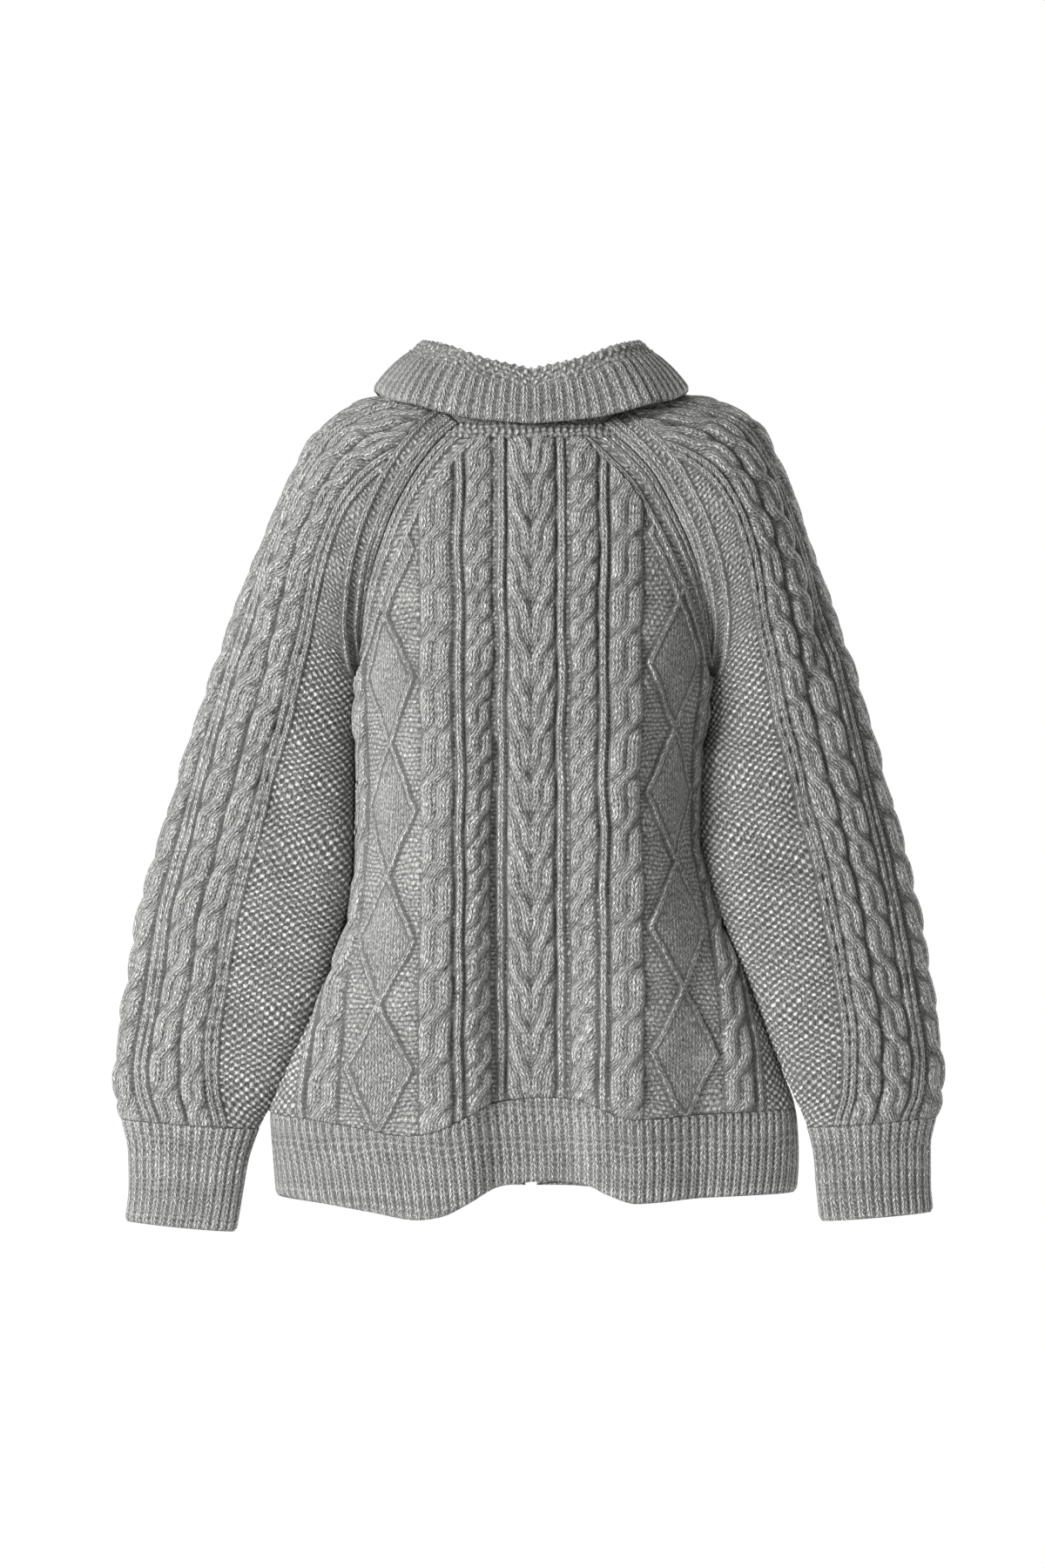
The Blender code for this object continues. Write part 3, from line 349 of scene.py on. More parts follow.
# Sleeve sections from the neck to the cuff. Both sleeves share the angle that a section turns through on each face,
# and its half depth. Then the left and the right one have five columns each: the top line, the inner edge (as far as
# the underarm it is the raglan seam), and how far that edge lies towards +Y.
SECTION = "station angle depth top_x top_drop in_x in_drop shift".split()
SECTIONS = table(" ".join(SECTION[:3] + [side + name for side in SIGN for name in SECTION[3:]]), """
    0 90 57,  92 0 61 25 0,  92 0 61 25 0
    1 93 64,  126 3 77 38 0,  132 3 76 38 0
    2 99 72,  155 12 100 67 0,  168 10 104 67 0
    3 106 77,  180 31 117 97 0,  194 27 121 97 0
    4 115 79,  199 58 129 127 0,  211 55 135 127 0
    5 126 77,  214 90 138 157 0,  224 86 145 157 0
    6 140 72,  229 124 144 191 0,  237 123 152 191 0
    7 157 66,  244 160 148 221 0,  250 160 155 221 0
    8 180 60,  259 200 150 250 0,  265 203 155 250 0
    9 180 56,  273 242 157 285 -1,  279 245 155 285 0
    10 180 52,  289 286 160 322 -5,  292 287 150 322 -9
    11 180 48,  306 340 161 365 -10,  307 340 150 372 -18
    12 180 45,  320 385 163 420 -14,  320 385 157 415 -24
    13 180 43,  338 446 173 468 -14,  334 446 174 465 -26
    14 180 41,  347 500 186 512 -12,  344 500 194 512 -25
    15 180 39,  356 552 205 560 -10,  352 550 212 560 -22
    16 180 35,  360 597 222 602 -8,  356 596 228 603 -18
    17 180 27,  356 628 237 636 -6,  352 626 240 634 -15
    17.3 180 24,  350 652 246 660 -6,  347 650 246 658 -14
    17.6 180 23,  349 680 251 687 -6,  347 678 248 684 -14
    18 180 22,  352 706 256 715 -6,  349 703 251 710 -14""")
SLEEVE = {side: {name: SECTIONS.get(name, SECTIONS.get(side + name)) for name in SECTION} for side in SIGN}

# Large folds: how far the cloth stands out, across the panel and down it.
FOLD_ACROSS = {
    "back": table("at out", """
    -300 0, -180 0.2, -120 0.75, -85 1.0, -58 0.7, -25 -0.8, 5 -1.0, 32 -0.8, 62 0.5, 90 0.9,
    112 0.6, 152 -0.5, 195 -0.4, 300 0"""),
    "front": table("at out", """
    -300 0, -215 0.3, -165 -0.7, -105 0.9, -60 0.1, -25 0, 25 0, 55 0.4, 95 1.0, 150 -0.8, 205 0.4,
    300 0"""),
}
FOLD_DOWN = table("drop depth", "0 0, 150 0, 260 5, 400 10, 560 14, 720 15")
FOLD_FADE = 60.0          # folds die away over this length before the side seam
# The welt's top edge and the hem swing down and up with the folds.
HEM_SWING = {
    "back": table("at down", """
    -300 2, -215 6, -150 14, -108 20, -85 17, -60 6, -30 -8, 15 -12, 45 -9, 62 -2, 90 6, 150 3,
    300 0"""),
    "front": table("at down", "-300 2, -165 -4, -105 8, -25 2, 25 2, 95 8, 150 -4, 300 0"),
}
SWING_FROM = 330.0
print(len(TORSO["drop"]), "rings,", len(SLEEVE["left"]["station"]), "sleeve sections")


# %% Reading the tables
def read(tab, column, at):
    """Reads a table's column along its first one, on a smooth line that never overshoots."""
    key, value = tab[next(iter(tab))], tab[column]
    step = np.diff(key)
    slope = np.diff(value) / step
    inner = np.zeros(len(key) - 2)
    same = slope[:-1] * slope[1:] > 0
    first = (2 * step[1:] + step[:-1])[same]
    second = (step[1:] + 2 * step[:-1])[same]
    inner[same] = (first + second) / (first / slope[:-1][same] + second / slope[1:][same])
    tangent = np.concatenate([[slope[0]], inner, [slope[-1]]])
    at = np.clip(np.asarray(at, float), key[0], key[-1])
    left = np.clip(np.searchsorted(key, at, side="right") - 1, 0, len(key) - 2)
    u = (at - key[left]) / step[left]
    return (
        value[left] * (1 + 2 * u) * (1 - u) ** 2
        + tangent[left] * step[left] * u * (1 - u) ** 2
        + value[left + 1] * u**2 * (3 - 2 * u)
        + tangent[left + 1] * step[left] * u**2 * (u - 1)
    )


def stack(*parts):
    return np.stack(np.broadcast_arrays(*parts), axis=-1).astype(float)


def unit(vectors):
    return vectors / np.maximum(np.linalg.norm(vectors, axis=-1, keepdims=True), 1e-9)


# %% Surfaces
def yoke_share(face, station):
    """The share of the front's own cut: 1 at the neck, 0 from the underarm down and on the back."""
    return np.clip(1 - np.asarray(station, float) / UNDERARM, 0, 1) * (face == "front")


def inner_edge(side, face, station):
    """Where a sleeve meets the torso, as (x, drop). The front seam starts lower and wider."""
    front = yoke_share(face, station)
    x, drop = (read(SLEEVE[side], name, station) for name in ("in_x", "in_drop"))
    return x + FRONT_SEAM_SPREAD * front, drop + FRONT_SEAM_DROP * front


def section_depth(side, face, station):
    return read(SLEEVE[side], "depth", station) * (1 - FRONT_SHALLOWER * yoke_share(face, station))


def sleeve_point(side, face, station, turn):
    """A point of the sleeve's outer ground: turn runs from 0 on the top line to 1 at the inner edge."""
    limit, top_x, top_drop, shift = (
        read(SLEEVE[side], name, station) for name in ("angle", "top_x", "top_drop", "shift"))
    in_x, in_drop = inner_edge(side, face, station)
    limit = np.radians(limit)
    share = (1 - np.cos(limit * turn)) / (1 - np.cos(limit))
    x = top_x + (in_x - top_x) * share
    drop = top_drop + (in_drop - top_drop) * share
    y = shift * share + FACE[face] * section_depth(side, face, station) * np.sin(limit * turn)
    return stack(SIGN[side] * x, y, -drop)


def torso_reach(side, face, drop):
    """Half width and half depth of a ring. Above the underarm it passes through the raglan seam."""
    depth = read(TORSO, face, drop)
    stations = np.linspace(0, UNDERARM, 161)
    seam_x, seam_drop = inner_edge(side, face, stations)
    limit = np.radians(read(SLEEVE[side], "angle", stations))
    seam_y = section_depth(side, face, stations) * np.sin(limit)
    x = np.interp(drop, seam_drop, seam_x)
    fill = np.clip(np.interp(drop, seam_drop, seam_y) / depth, 0, 0.985)
    through_seam = x / (1 - fill**SQUARENESS) ** (1 / SQUARENESS)
    return np.where(drop < seam_drop[-1], through_seam, read(TORSO, side, drop)), depth


class Quarter:
    """A quarter of the torso's ground, found by the distance around it and the drop."""

    STEP = 4.0
    LONGEST = 440.0

    def __init__(self, side, face):
        self.side, self.face = side, face
        self.drops = np.arange(20.0, 724.0, self.STEP)
        self.arounds = np.arange(0.0, self.LONGEST, self.STEP)
        width, depth = torso_reach(side, face, self.drops)
        angle = np.linspace(0, math.pi / 2, 500)
        power = 2 / SQUARENESS
        ring = (width[:, None] * np.sin(angle) ** power, depth[:, None] * np.abs(np.cos(angle)) ** power)
        length = np.insert(np.cumsum(np.hypot(*np.diff(ring)), axis=1), 0, 0, axis=1)
        self.length = length[:, -1]
        self.x, self.y = (
            np.array([np.interp(self.arounds, a, b) for a, b in zip(length, grid)]) for grid in ring)

    def look_up(self, grid, around, drop):
        i = np.clip((drop - self.drops[0]) / self.STEP, 0, len(self.drops) - 1.001)
        j = np.clip(around / self.STEP, 0, len(self.arounds) - 1.001)
        i0, j0 = i.astype(int), j.astype(int)
        u, v = i - i0, j - j0
        low = grid[i0, j0] * (1 - v) + grid[i0, j0 + 1] * v
        high = grid[i0 + 1, j0] * (1 - v) + grid[i0 + 1, j0 + 1] * v
        return low * (1 - u) + high * u

    def point(self, around, drop):
        around, drop = np.broadcast_arrays(np.asarray(around, float), np.asarray(drop, float))
        x = SIGN[self.side] * self.look_up(self.x, around, drop)
        at = SIGN[self.side] * around
        out = read(FOLD_ACROSS[self.face], "out", at) * read(FOLD_DOWN, "depth", drop)
        room = np.clip((self.side_seam(drop) - around) / FOLD_FADE, 0, 1)
        y = self.look_up(self.y, around, drop) + out * room**2 * (3 - 2 * room)
        return stack(x, FACE[self.face] * y, -drop)

    def side_seam(self, drop):
        return np.interp(drop, self.drops, self.length)

    def raglan(self, station):
        """How far around the raglan seam lies, and its drop, at one station."""
        x, drop = inner_edge(self.side, self.face, station)
        ring = self.look_up(self.x, self.arounds, drop)
        return min(float(np.interp(x, ring, self.arounds)), float(self.side_seam(drop))), float(drop)


QUARTERS = {(side, face): Quarter(side, face) for side in SIGN for face in FACE}


def torso_point(face, around, drop):
    """A point of the back or the front, with around signed: positive to +X."""
    around = np.asarray(around, float)
    left, right = (QUARTERS[side, face].point(np.abs(around), drop) for side in SIGN)
    return np.where((around < 0)[..., None], left, right)


def swing(face, around, base):
    """The drop of a lower row, which follows the hem's swing more and more."""
    share = np.clip((base - SWING_FROM) / (BODY_DROP - SWING_FROM), 0, 1)
    return base + read(HEM_SWING[face], "down", around) * share**1.5


print("side seam at the hem:", round(float(QUARTERS["left", "back"].side_seam(BODY_DROP))), "mm from the centre")

# %% [markdown]
# ## Cables, ribs and diamonds
# A rope cable is two strands that cross again and again. At each crossing one strand comes up on one side, runs over
# to the other and dives behind the next. So a rope is a row of slanted lobes, and the highest lobe at a point is the
# one that is seen. Two mirrored ropes side by side make the centre braid with its stack of V's.


# %% Rope
def dome(distance, half):
    """A rounded ridge: 1 in its middle and 0 from its edges out."""
    return np.sqrt(np.clip(1 - (distance / half) ** 2, 0, 1))


def ease(t):
    """From -1 to 1 on a soft S."""
    return np.sin(np.clip(t, -1, 1) * math.pi / 2)


def rope(x, up, half, pitch, lean, quick):
    """The height of a rope cable, from 0 to 1, and the distance across its stitches.

    quick is the share of the pitch that a crossing takes on either side of its middle.
    """
    turn = up / pitch
    high = np.zeros_like(x)
    for k in (0, 1):
        u = turn - np.floor(turn) - k
        middle = lean * 0.48 * half * ease(u / quick)
        dive = np.clip((np.abs(u) - 1 + quick) / quick, 0, 1)
        rise = np.cos(dive * math.pi / 2) ** 0.7
        high = np.maximum(high, rise * np.clip(1 - ((x - middle) / (0.55 * half)) ** 2, 0, 1) ** 0.75)
    crossing = np.round(turn)
    shift = crossing + 0.5 * ease((turn - crossing) / quick)
    return high, x - lean * 0.96 * half * shift


print("rope ready")

# %% [markdown]
# A piece's relief starts as purl ground. Each column of the pattern is laid on it, by its distance from the centre
# line, and says how high it stands, which stitch it is, and where the stitches lie on its own strand.


# %% Relief
HALF_STITCH = STITCH_WIDE / MM / 2
FURROW = 0.7              # depth of the dark line beside a raised column
RAGLAN_BAND = 24
RAGLAN_COLUMNS = (3.6, 9.6, 22.0)
RUNGS = 15.8              # middle of the ladder between two of those columns
RUNG_PITCH = 6.6


def waver(x, y, seed):
    """A slow unevenness from about -1 to 1, from a few waves that cross."""
    total = 0.0
    for k, (length, turn) in enumerate(((83.0, 0.4), (47.0, 2.1), (29.0, 3.9), (61.0, 5.2))):
        total = total + np.sin((x * math.cos(turn) + y * math.sin(turn)) * TURN / length + 1.7 * seed + 2.3 * k)
    return total / 2.4


class Relief:
    """What is knitted at each point of a piece. The pattern is the same on both sides of its centre line."""

    def __init__(self, around, drop):
        around, drop = np.broadcast_arrays(around, drop)
        self.uneven = waver(around, drop, 3)
        # Hand knitting drifts a little. The centre line stays where it is.
        self.around = around + 1.1 * waver(around / 2, drop / 2, 1) * np.clip(np.abs(around) / 30, 0, 1)
        self.drop = drop + 2.0 * waver(around, drop, 2)
        self.a = np.abs(self.around)
        self.high = np.zeros(self.a.shape)
        self.u = self.around.copy()
        self.purl = np.ones(self.a.shape)
        self.seed = np.zeros(self.a.shape)

    def lay(self, where, high, u=None, purl=0.0, seed=0.0):
        """Sets the points of one column. Without u, the stitches keep the columns of the ground."""
        self.high = np.where(where, high, self.high)
        if u is not None:
            self.u = np.where(where, u, self.u)
        self.purl = np.where(where, purl, self.purl)
        self.seed = np.where(where, seed, self.seed)

    def dent(self, x, width, depth, power=2):
        """Presses in what lies near x = 0, with soft sides. A negative depth raises it."""
        self.high = self.high - depth * np.exp(-((x / width) ** power))

    def rib(self, centre, half=3.3, high=2.7):
        x = self.a - centre
        self.lay(np.abs(x) < half, high * dome(x, half + 0.4), u=x + HALF_STITCH)
        self.dent(np.abs(x) - half - 0.8, 1.2, FURROW)

    def cable(self, centre, half, pitch, high=5.0, lean=1.0, phase=0.0, quick=0.45, twin=False):
        """lean is 1 where the strands climb outwards. A twin meets its mirror image on the centre line."""
        x = self.a - centre
        strand, across = rope(x, -self.drop + phase * pitch, half, pitch, lean, quick)
        step = np.clip((half - np.abs(x)) / 1.8, 0, 1)
        self.lay(np.abs(x) < half, step * 0.6 + (high - 0.6) * strand, u=across)
        self.dent(np.abs(x) - half - 0.8, 1.2, np.where((x < 0) & twin, 0.0, FURROW))

    def diamonds(self, centre, half, pitch, crossing):
        """Two strands that cross and part again, with plain knit between them."""
        phase = (self.drop - crossing) / pitch
        apart = half * (1 - np.abs(2 * (phase - np.floor(phase)) - 1))
        x = np.abs(self.a - centre)
        self.lay(x < apart - 1, 0.9 + 0.5 * np.clip((apart - x) / 9, 0, 1))
        strand = x - apart
        self.dent(strand - 4.0, 1.6, 0.6)
        high = np.maximum(2.3 * dome(strand, 3.4), 0.9 * (strand < 0))
        self.lay(np.abs(strand) < 3.2, high, u=strand + HALF_STITCH)

    def seeds(self, start, since=0.0):
        """Seed stitch: pips in a checkerboard."""
        pips = np.cos(self.around * math.pi * MM / SEED_WIDE) * np.cos(self.drop * math.pi * MM / SEED_TALL)
        self.lay((self.a > start) & (self.drop > since), 0.3 + pips, seed=1.0)

    def raglan(self, away):
        """The plain band beside a raglan seam, away being the distance from it."""
        self.lay(away < RAGLAN_BAND, -0.3, u=away, purl=1.0)
        for middle in RAGLAN_COLUMNS:
            x = away - middle
            self.lay(np.abs(x) < 2.9, 2.3 * dome(x, 3.1), u=x + HALF_STITCH)
        self.dent(away - RUNGS, 2.8, -0.9 * np.cos(TURN * self.drop / RUNG_PITCH), 4)
        self.dent(away, 1.1, 1.6)

    def settle(self, ground):
        """No two cables stand equally high, and all die away into the ribs below."""
        down = walked(ground, 0)
        fade = 0.25 + 0.75 * np.clip((down[-1] - down) / 12, 0, 1) ** 0.7
        self.high = self.high * (1 + 0.2 * self.uneven) * fade

    def ribbing(self, turn, pitch, high=1.9):
        """Knit one, purl one: round ridges with narrow furrows. One rib is one turn."""
        x = (turn - np.floor(turn) - 0.5) * pitch
        self.lay(True, high * (dome(x, pitch * 0.48) ** 0.7 - 0.4), u=x + HALF_STITCH)
        self.purl = np.where(np.abs(x) > pitch * 0.42, 1.0, 0.0)


print("relief ready")

# %% [markdown]
# From the centre of the back outwards: a braid of V's, a rib, a small rope, a rib, a big rope, the diamonds, another
# big rope, a rib, and seed stitch at the sides. The fronts share all but the braid. A sleeve has a braid down its top
# line, two ribs, two ropes, two more ribs, and seed stitch underneath, with plain purl above it.


# %% Patterns
def side_columns(relief, crossing):
    right = np.sign(relief.around)
    relief.seeds(209)
    relief.cable(45, 11.5, 24, lean=right)
    relief.rib(62)
    relief.cable(82.5, 14.5, 41, quick=0.3, lean=right)
    relief.diamonds(133, 29, 112, crossing)
    relief.cable(182.5, 14, 40, phase=0.5, quick=0.3, lean=right)
    relief.rib(203)


def back_relief(around, drop):
    relief = Relief(around, drop)
    side_columns(relief, np.where(around < 0, 76.0, 63.0))
    relief.cable(9.2, 11, 36, high=5.6, twin=True, quick=0.5)
    relief.rib(25.5)
    return relief


def front_relief(around, drop):
    relief = Relief(around, drop)
    side_columns(relief, 70.0)
    relief.cable(24, 7.5, 26, high=4.2)
    relief.rib(13.0, 2.8)
    relief.lay(relief.a < 9.5, 0.8, u=relief.a)
    return relief


def sleeve_relief(around, along):
    relief = Relief(around, along)
    relief.seeds(104, since=255)
    relief.cable(12.6, 15, 34, twin=True)
    relief.rib(34)
    relief.rib(41)
    relief.cable(58, 12.5, 35, quick=0.35)
    relief.cable(82, 10.5, 35, phase=0.45, quick=0.35)
    relief.rib(96)
    relief.rib(102.5, 2.8)
    return relief


print("patterns ready")

# %% [markdown]
# ## From relief to cloth
# Each piece is a thin shell: a fine outside moved out by the relief, a coarser, plain inside one wall's thickness
# further in, and a rim of triangles round all four edges. A free edge, such as a hem, is pulled in on both faces.


# %% Lengths and faces of a grid
def walked(ground, axis):
    """How far each point is along its row or column of the grid."""
    steps = np.linalg.norm(np.diff(ground, axis=axis), axis=2)
    return np.insert(np.cumsum(steps, axis=axis), 0, 0, axis=axis)


def distance_to(line, ground):
    """The distance from each point of a grid to the nearest point of a line."""
    nearest = np.full(ground.shape[:2], 1e9)
    for point in line:
        nearest = np.minimum(nearest, np.linalg.norm(ground - point, axis=2))
    return nearest


def every(count, step):
    """Every so many of a row's places, with the last one always among them."""
    return np.unique(np.append(np.arange(0, count, step), count - 1))


def quads(grid, flip):
    corners = [grid[:-1, :-1], grid[:-1, 1:], grid[1:, 1:], grid[1:, :-1]]
    corners = corners[::-1] if flip else corners
    return np.stack([corner.ravel() for corner in corners], axis=1).tolist()


def rim_faces(outer, inner, places, flip):
    """Triangles between an edge of the fine grid and the same edge of the coarse one."""
    outer, inner, places = outer.tolist(), inner.tolist(), places.tolist()
    faces = []
    for j in range(len(inner) - 1):
        for k in range(places[j], places[j + 1]):
            faces.append((outer[k], outer[k + 1], inner[j]))
        faces.append((outer[places[j + 1]], inner[j + 1], inner[j]))
    return [face[::-1] for face in faces] if flip else faces


def closed_faces(outer, inner, rows, columns, up):
    """The faces of both grids and of the rims all round. up says which way the outer grid turns."""
    faces = quads(outer, not up) + quads(inner, up)
    for end, flip in ((0, up), (-1, not up)):
        faces += rim_faces(outer[end], inner[end], columns, flip)
        faces += rim_faces(outer[:, end], inner[:, end], rows, not flip)
    return faces


print("grids ready")


# %% Cloth
COARSE = 4                # the inside has every fourth row and column of the outside


def soften(relief, edges, inward):
    """Rounds the free edges: both faces come together there."""
    for distance in edges:
        near = np.exp(-((distance / 2.2) ** 2))
        relief.high = relief.high - (relief.high + 1.2) * near
        inward = inward - 1.1 * near
    return inward


def smoothed(values, times):
    for _ in range(2 * times):
        pad = np.pad(values, ((1, 1), (0, 0)), "edge")
        values = ((pad[:-2] + 2 * values + pad[2:]) / 4).T
    return values


def point_values(relief, pick):
    """What the wool reads at each point: the fine outside first, then the plain inside."""
    plain = relief.purl[pick] * 0
    stands_out = relief.high - smoothed(relief.high, 9)
    return {
        "purl": (relief.purl, plain + 1.0),
        "seed": (relief.seed, plain),
        # The third value is painted shade: low in the relief's furrows and hollows and high on its crests, and the
        # wool darkens its colour by it.
        "deep": (np.clip(0.55 + stands_out / 3.2, 0, 1), plain + 0.5),
    }


# Each crease: where across the piece, where down it, half its width, half its length, its slant and its depth.
CREASES = {
    "back": ((-31, 400, 19, 150, 0.02, 6.0), (112, 300, 15, 80, -0.30, 3.5), (-120, 330, 16, 90, 0.25, 3.0)),
    "front_left": ((-58, 430, 18, 120, 0.05, 4.5), (-126, 290, 15, 80, 0.30, 3.5)),
    "front_right": ((66, 400, 17, 130, -0.04, 5.0), (120, 280, 16, 70, -0.25, 3.0)),
    "sleeve_left": (
        (-72, 300, 14, 60, -0.55, 4.5), (-104, 392, 13, 48, -0.60, 3.5), (78, 330, 15, 66, 0.50, 4.5),
        (-46, 585, 12, 36, 0.10, 3.5), (20, 600, 11, 30, -0.10, 3.0), (66, 580, 12, 34, 0.15, 3.0)),
    "sleeve_right": (
        (-66, 318, 15, 64, -0.50, 5.0), (-98, 415, 13, 50, -0.55, 3.0), (70, 305, 14, 60, 0.55, 4.0),
        (-58, 590, 12, 34, -0.10, 3.0), (10, 598, 11, 30, 0.10, 3.5), (54, 584, 13, 36, -0.15, 3.0)),
}


def creased(node, ground, relief, sign):
    """The ground with its creases pressed in."""
    inward = -outward(ground, sign)
    for place, level, half, length, slant, depth in CREASES.get(node, ()):
        beside = relief.around - place - slant * (relief.drop - level)
        press = depth * np.exp(-((beside / half) ** 2) - ((relief.drop - level) / length) ** 2)
        ground = ground + inward * press[..., None]
    return ground


def outward(ground, sign):
    return unit(np.cross(np.gradient(ground, axis=1), np.gradient(ground, axis=0)) * sign)


def cloth(node, ground, relief, sign, free=(), name=None, wool_of=grey_wool, thick=WALL):
    """A knitted piece for one node, from its ground and its relief, with the named edges free and rounded."""
    name = name or "knit_" + node
    rows, columns = ground.shape[:2]
    ground = creased(node, ground, relief, sign)
    normal = outward(ground, sign)
    down, across = walked(ground, 0), walked(ground, 1)
    edges = {"top": down, "bottom": down[-1] - down, "first": across, "last": across[:, -1:] - across}
    inward = soften(relief, [edges[edge] for edge in free], np.full((rows, columns), thick))
    used_rows, used_columns = every(rows, COARSE), every(columns, COARSE)
    pick = np.ix_(used_rows, used_columns)
    outer = ground + normal * relief.high[..., None]
    inner = (ground - normal * inward[..., None])[pick]
    index = np.arange(rows * columns).reshape(rows, columns)
    inner_index = index.size + np.arange(inner[..., 0].size).reshape(inner.shape[:2])
    mesh = bpy.data.meshes.new(name)
    points = np.concatenate([outer.reshape(-1, 3), inner.reshape(-1, 3)]) * MM
    mesh.from_pydata(points.tolist(), [], closed_faces(index, inner_index, used_rows, used_columns, sign > 0))
    for field, (fine, plain) in point_values(relief, pick).items():
        joined = np.append(fine, plain).astype(np.float32)
        mesh.attributes.new(field, "FLOAT", "POINT").data.foreach_set("value", joined)
    corner = np.empty(len(mesh.loops), np.int32)
    mesh.loops.foreach_get("vertex_index", corner)
    u, v = np.append(relief.u, relief.around[pick]), -np.append(relief.drop, relief.drop[pick])
    places = np.stack([u[corner], v[corner]], axis=1) * MM
    mesh.uv_layers.new(name="Knit").data.foreach_set("uv", places.astype(np.float32).ravel())
    mesh.polygons.foreach_set("use_smooth", np.ones(len(mesh.polygons), bool))
    mesh.materials.append(wool_of)
    mesh.update()
    piece = new_object(name, mesh)
    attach(piece, "garment")
    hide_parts(node)


print("cloth ready")

# %% [markdown]
# ## Back
# One panel from the neck to the top of the welt. Down to the underarm its edges are the raglan seams, where each row
# ends exactly at the sleeve's section, with a plain band beside them. Below it they are the side seams.


# %% Raglan seam
YOKE_ROWS = 112
LOWER_ROWS = 180
yoke_stations = np.linspace(0, UNDERARM, YOKE_ROWS)


def seam_line(side, face):
    return np.array([sleeve_point(side, face, station, np.array(1.0)) for station in yoke_stations])


def beside_seam(relief, ground, side, face):
    """Lays the raglan band along a seam. It stops at the underarm."""
    away = distance_to(seam_line(side, face), ground)
    low = ground[..., 2] < -(read(SLEEVE[side], "in_drop", UNDERARM) - 8)
    relief.raglan(away + 50.0 * low)


print("raglan seams:", round(float(walked(seam_line("left", "back")[:, None], 0)[-1, 0])), "mm long")


# %% Back panel
NECK_BAND = 37.0
FULLNESS = {"left": 7.5, "right": 3.2}     # the cloth of body and sleeve leans together under the arm
FULL_FROM = 215           # the drop where that starts, and where it ends on the body and along the sleeve
BODY_FILLED = 640
SLEEVE_FILLED = 690


def fill_side(relief, side, beside, lowest):
    """Fills a piece out under the arm, beside being the distance from its seam there."""
    level = np.clip((relief.drop - FULL_FROM) / 60, 0, 1) * np.clip((lowest - relief.drop) / 60, 0, 1)
    relief.dent(beside, 42, -FULLNESS[side] * level)


def panel_rows(side, face):
    """How far around a panel's edge is and its drop, for each row: the raglan seam, then the side seam."""
    quarter = QUARTERS[side, face]
    yoke = np.array([quarter.raglan(station) for station in yoke_stations])
    lower = np.linspace(yoke[-1, 1], BODY_DROP, LOWER_ROWS + 1)[1:]
    return np.append(yoke[:, 0], quarter.side_seam(lower))[:, None], np.append(yoke[:, 1], lower)[:, None]


LOWER = (np.arange(YOKE_ROWS + LOWER_ROWS) >= YOKE_ROWS)[:, None]


def back_panel(columns=257):
    left, base = panel_rows("left", "back")
    right, base = panel_rows("right", "back")
    share = np.linspace(-1, 1, columns)
    around = np.where(share < 0, share * left, share * right)
    drop = np.where(LOWER, swing("back", around, base), base)
    ground = torso_point("back", around, drop)
    relief = back_relief(around, drop)
    for end, side in ((0, "left"), (-1, "right")):
        ground[:YOKE_ROWS, end] = seam_line(side, "back")
    for side in SIGN:
        beside_seam(relief, ground, side, "back")
    relief.lay(drop + 0 * around < NECK_BAND, 0.5 + 0.8 * np.cos(TURN * around / 6.0), u=around, purl=1.0)
    relief.dent(drop - NECK_BAND, 1.4, 1.3)
    relief.settle(ground)
    fill_side(relief, "left", around + left, BODY_FILLED)
    fill_side(relief, "right", right - around, BODY_FILLED)
    cloth("back", ground, relief, -1.0)


back_panel()

# %% [markdown]
# ## Fronts
# Each front runs from the zip to the side. Its first rows dip with the neckline and level out towards the underarm.


# %% Front panels
def front_panel(side, columns=131):
    seam, base = panel_rows(side, "front")
    first, last = base[0], base[YOKE_ROWS - 1]
    centre = FRONT_NECK_DROP + (last - FRONT_NECK_DROP) * (base - first) / (last - first)
    a = ZIP_OPENING + np.linspace(0, 1, columns) * (seam - ZIP_OPENING)
    around = SIGN[side] * a
    dip = base + (centre - base) * (1 - (a / seam) ** FRONT_NECK_CURVE)
    drop = np.where(LOWER, swing("front", around, base), dip)
    ground = torso_point("front", around, drop)
    ground[:YOKE_ROWS, -1] = seam_line(side, "front")
    relief = front_relief(around, drop)
    beside_seam(relief, ground, side, "front")
    relief.settle(ground)
    fill_side(relief, side, seam - a, BODY_FILLED)
    cloth(f"front_{side}", ground, relief, SIGN[side], ("top", "first"))


for side in SIGN:
    front_panel(side)

# %% [markdown]
# ## Sleeves
# Each is one piece too, from its back edge over the top line to its front edge, with the table's sections as its
# rows. Its own seam runs along the inside of the arm.


# %% Sleeve panels
SLEEVE_ROWS = 205         # below the underarm
SLEEVE_COLUMNS_HALF = 105


def section(side, station, columns):
    """A sleeve's section as points and as distances from the top line: the back half, then the front."""
    turns = np.linspace(0, 1, 201)
    halves = []
    for face in FACE:
        length = walked(sleeve_point(side, face, station, turns)[None], 1)[0]
        at = np.linspace(0, length[-1], columns)
        halves.append((sleeve_point(side, face, station, np.interp(at, length, turns)), FACE[face] * at))
    return [np.concatenate([back[::-1], front[1:]]) for back, front in zip(*halves)]


def sleeve_grid(side, stations, columns):
    """The points of a row of sections, and how far around each is."""
    return (np.array(part) for part in zip(*(section(side, station, columns) for station in stations)))


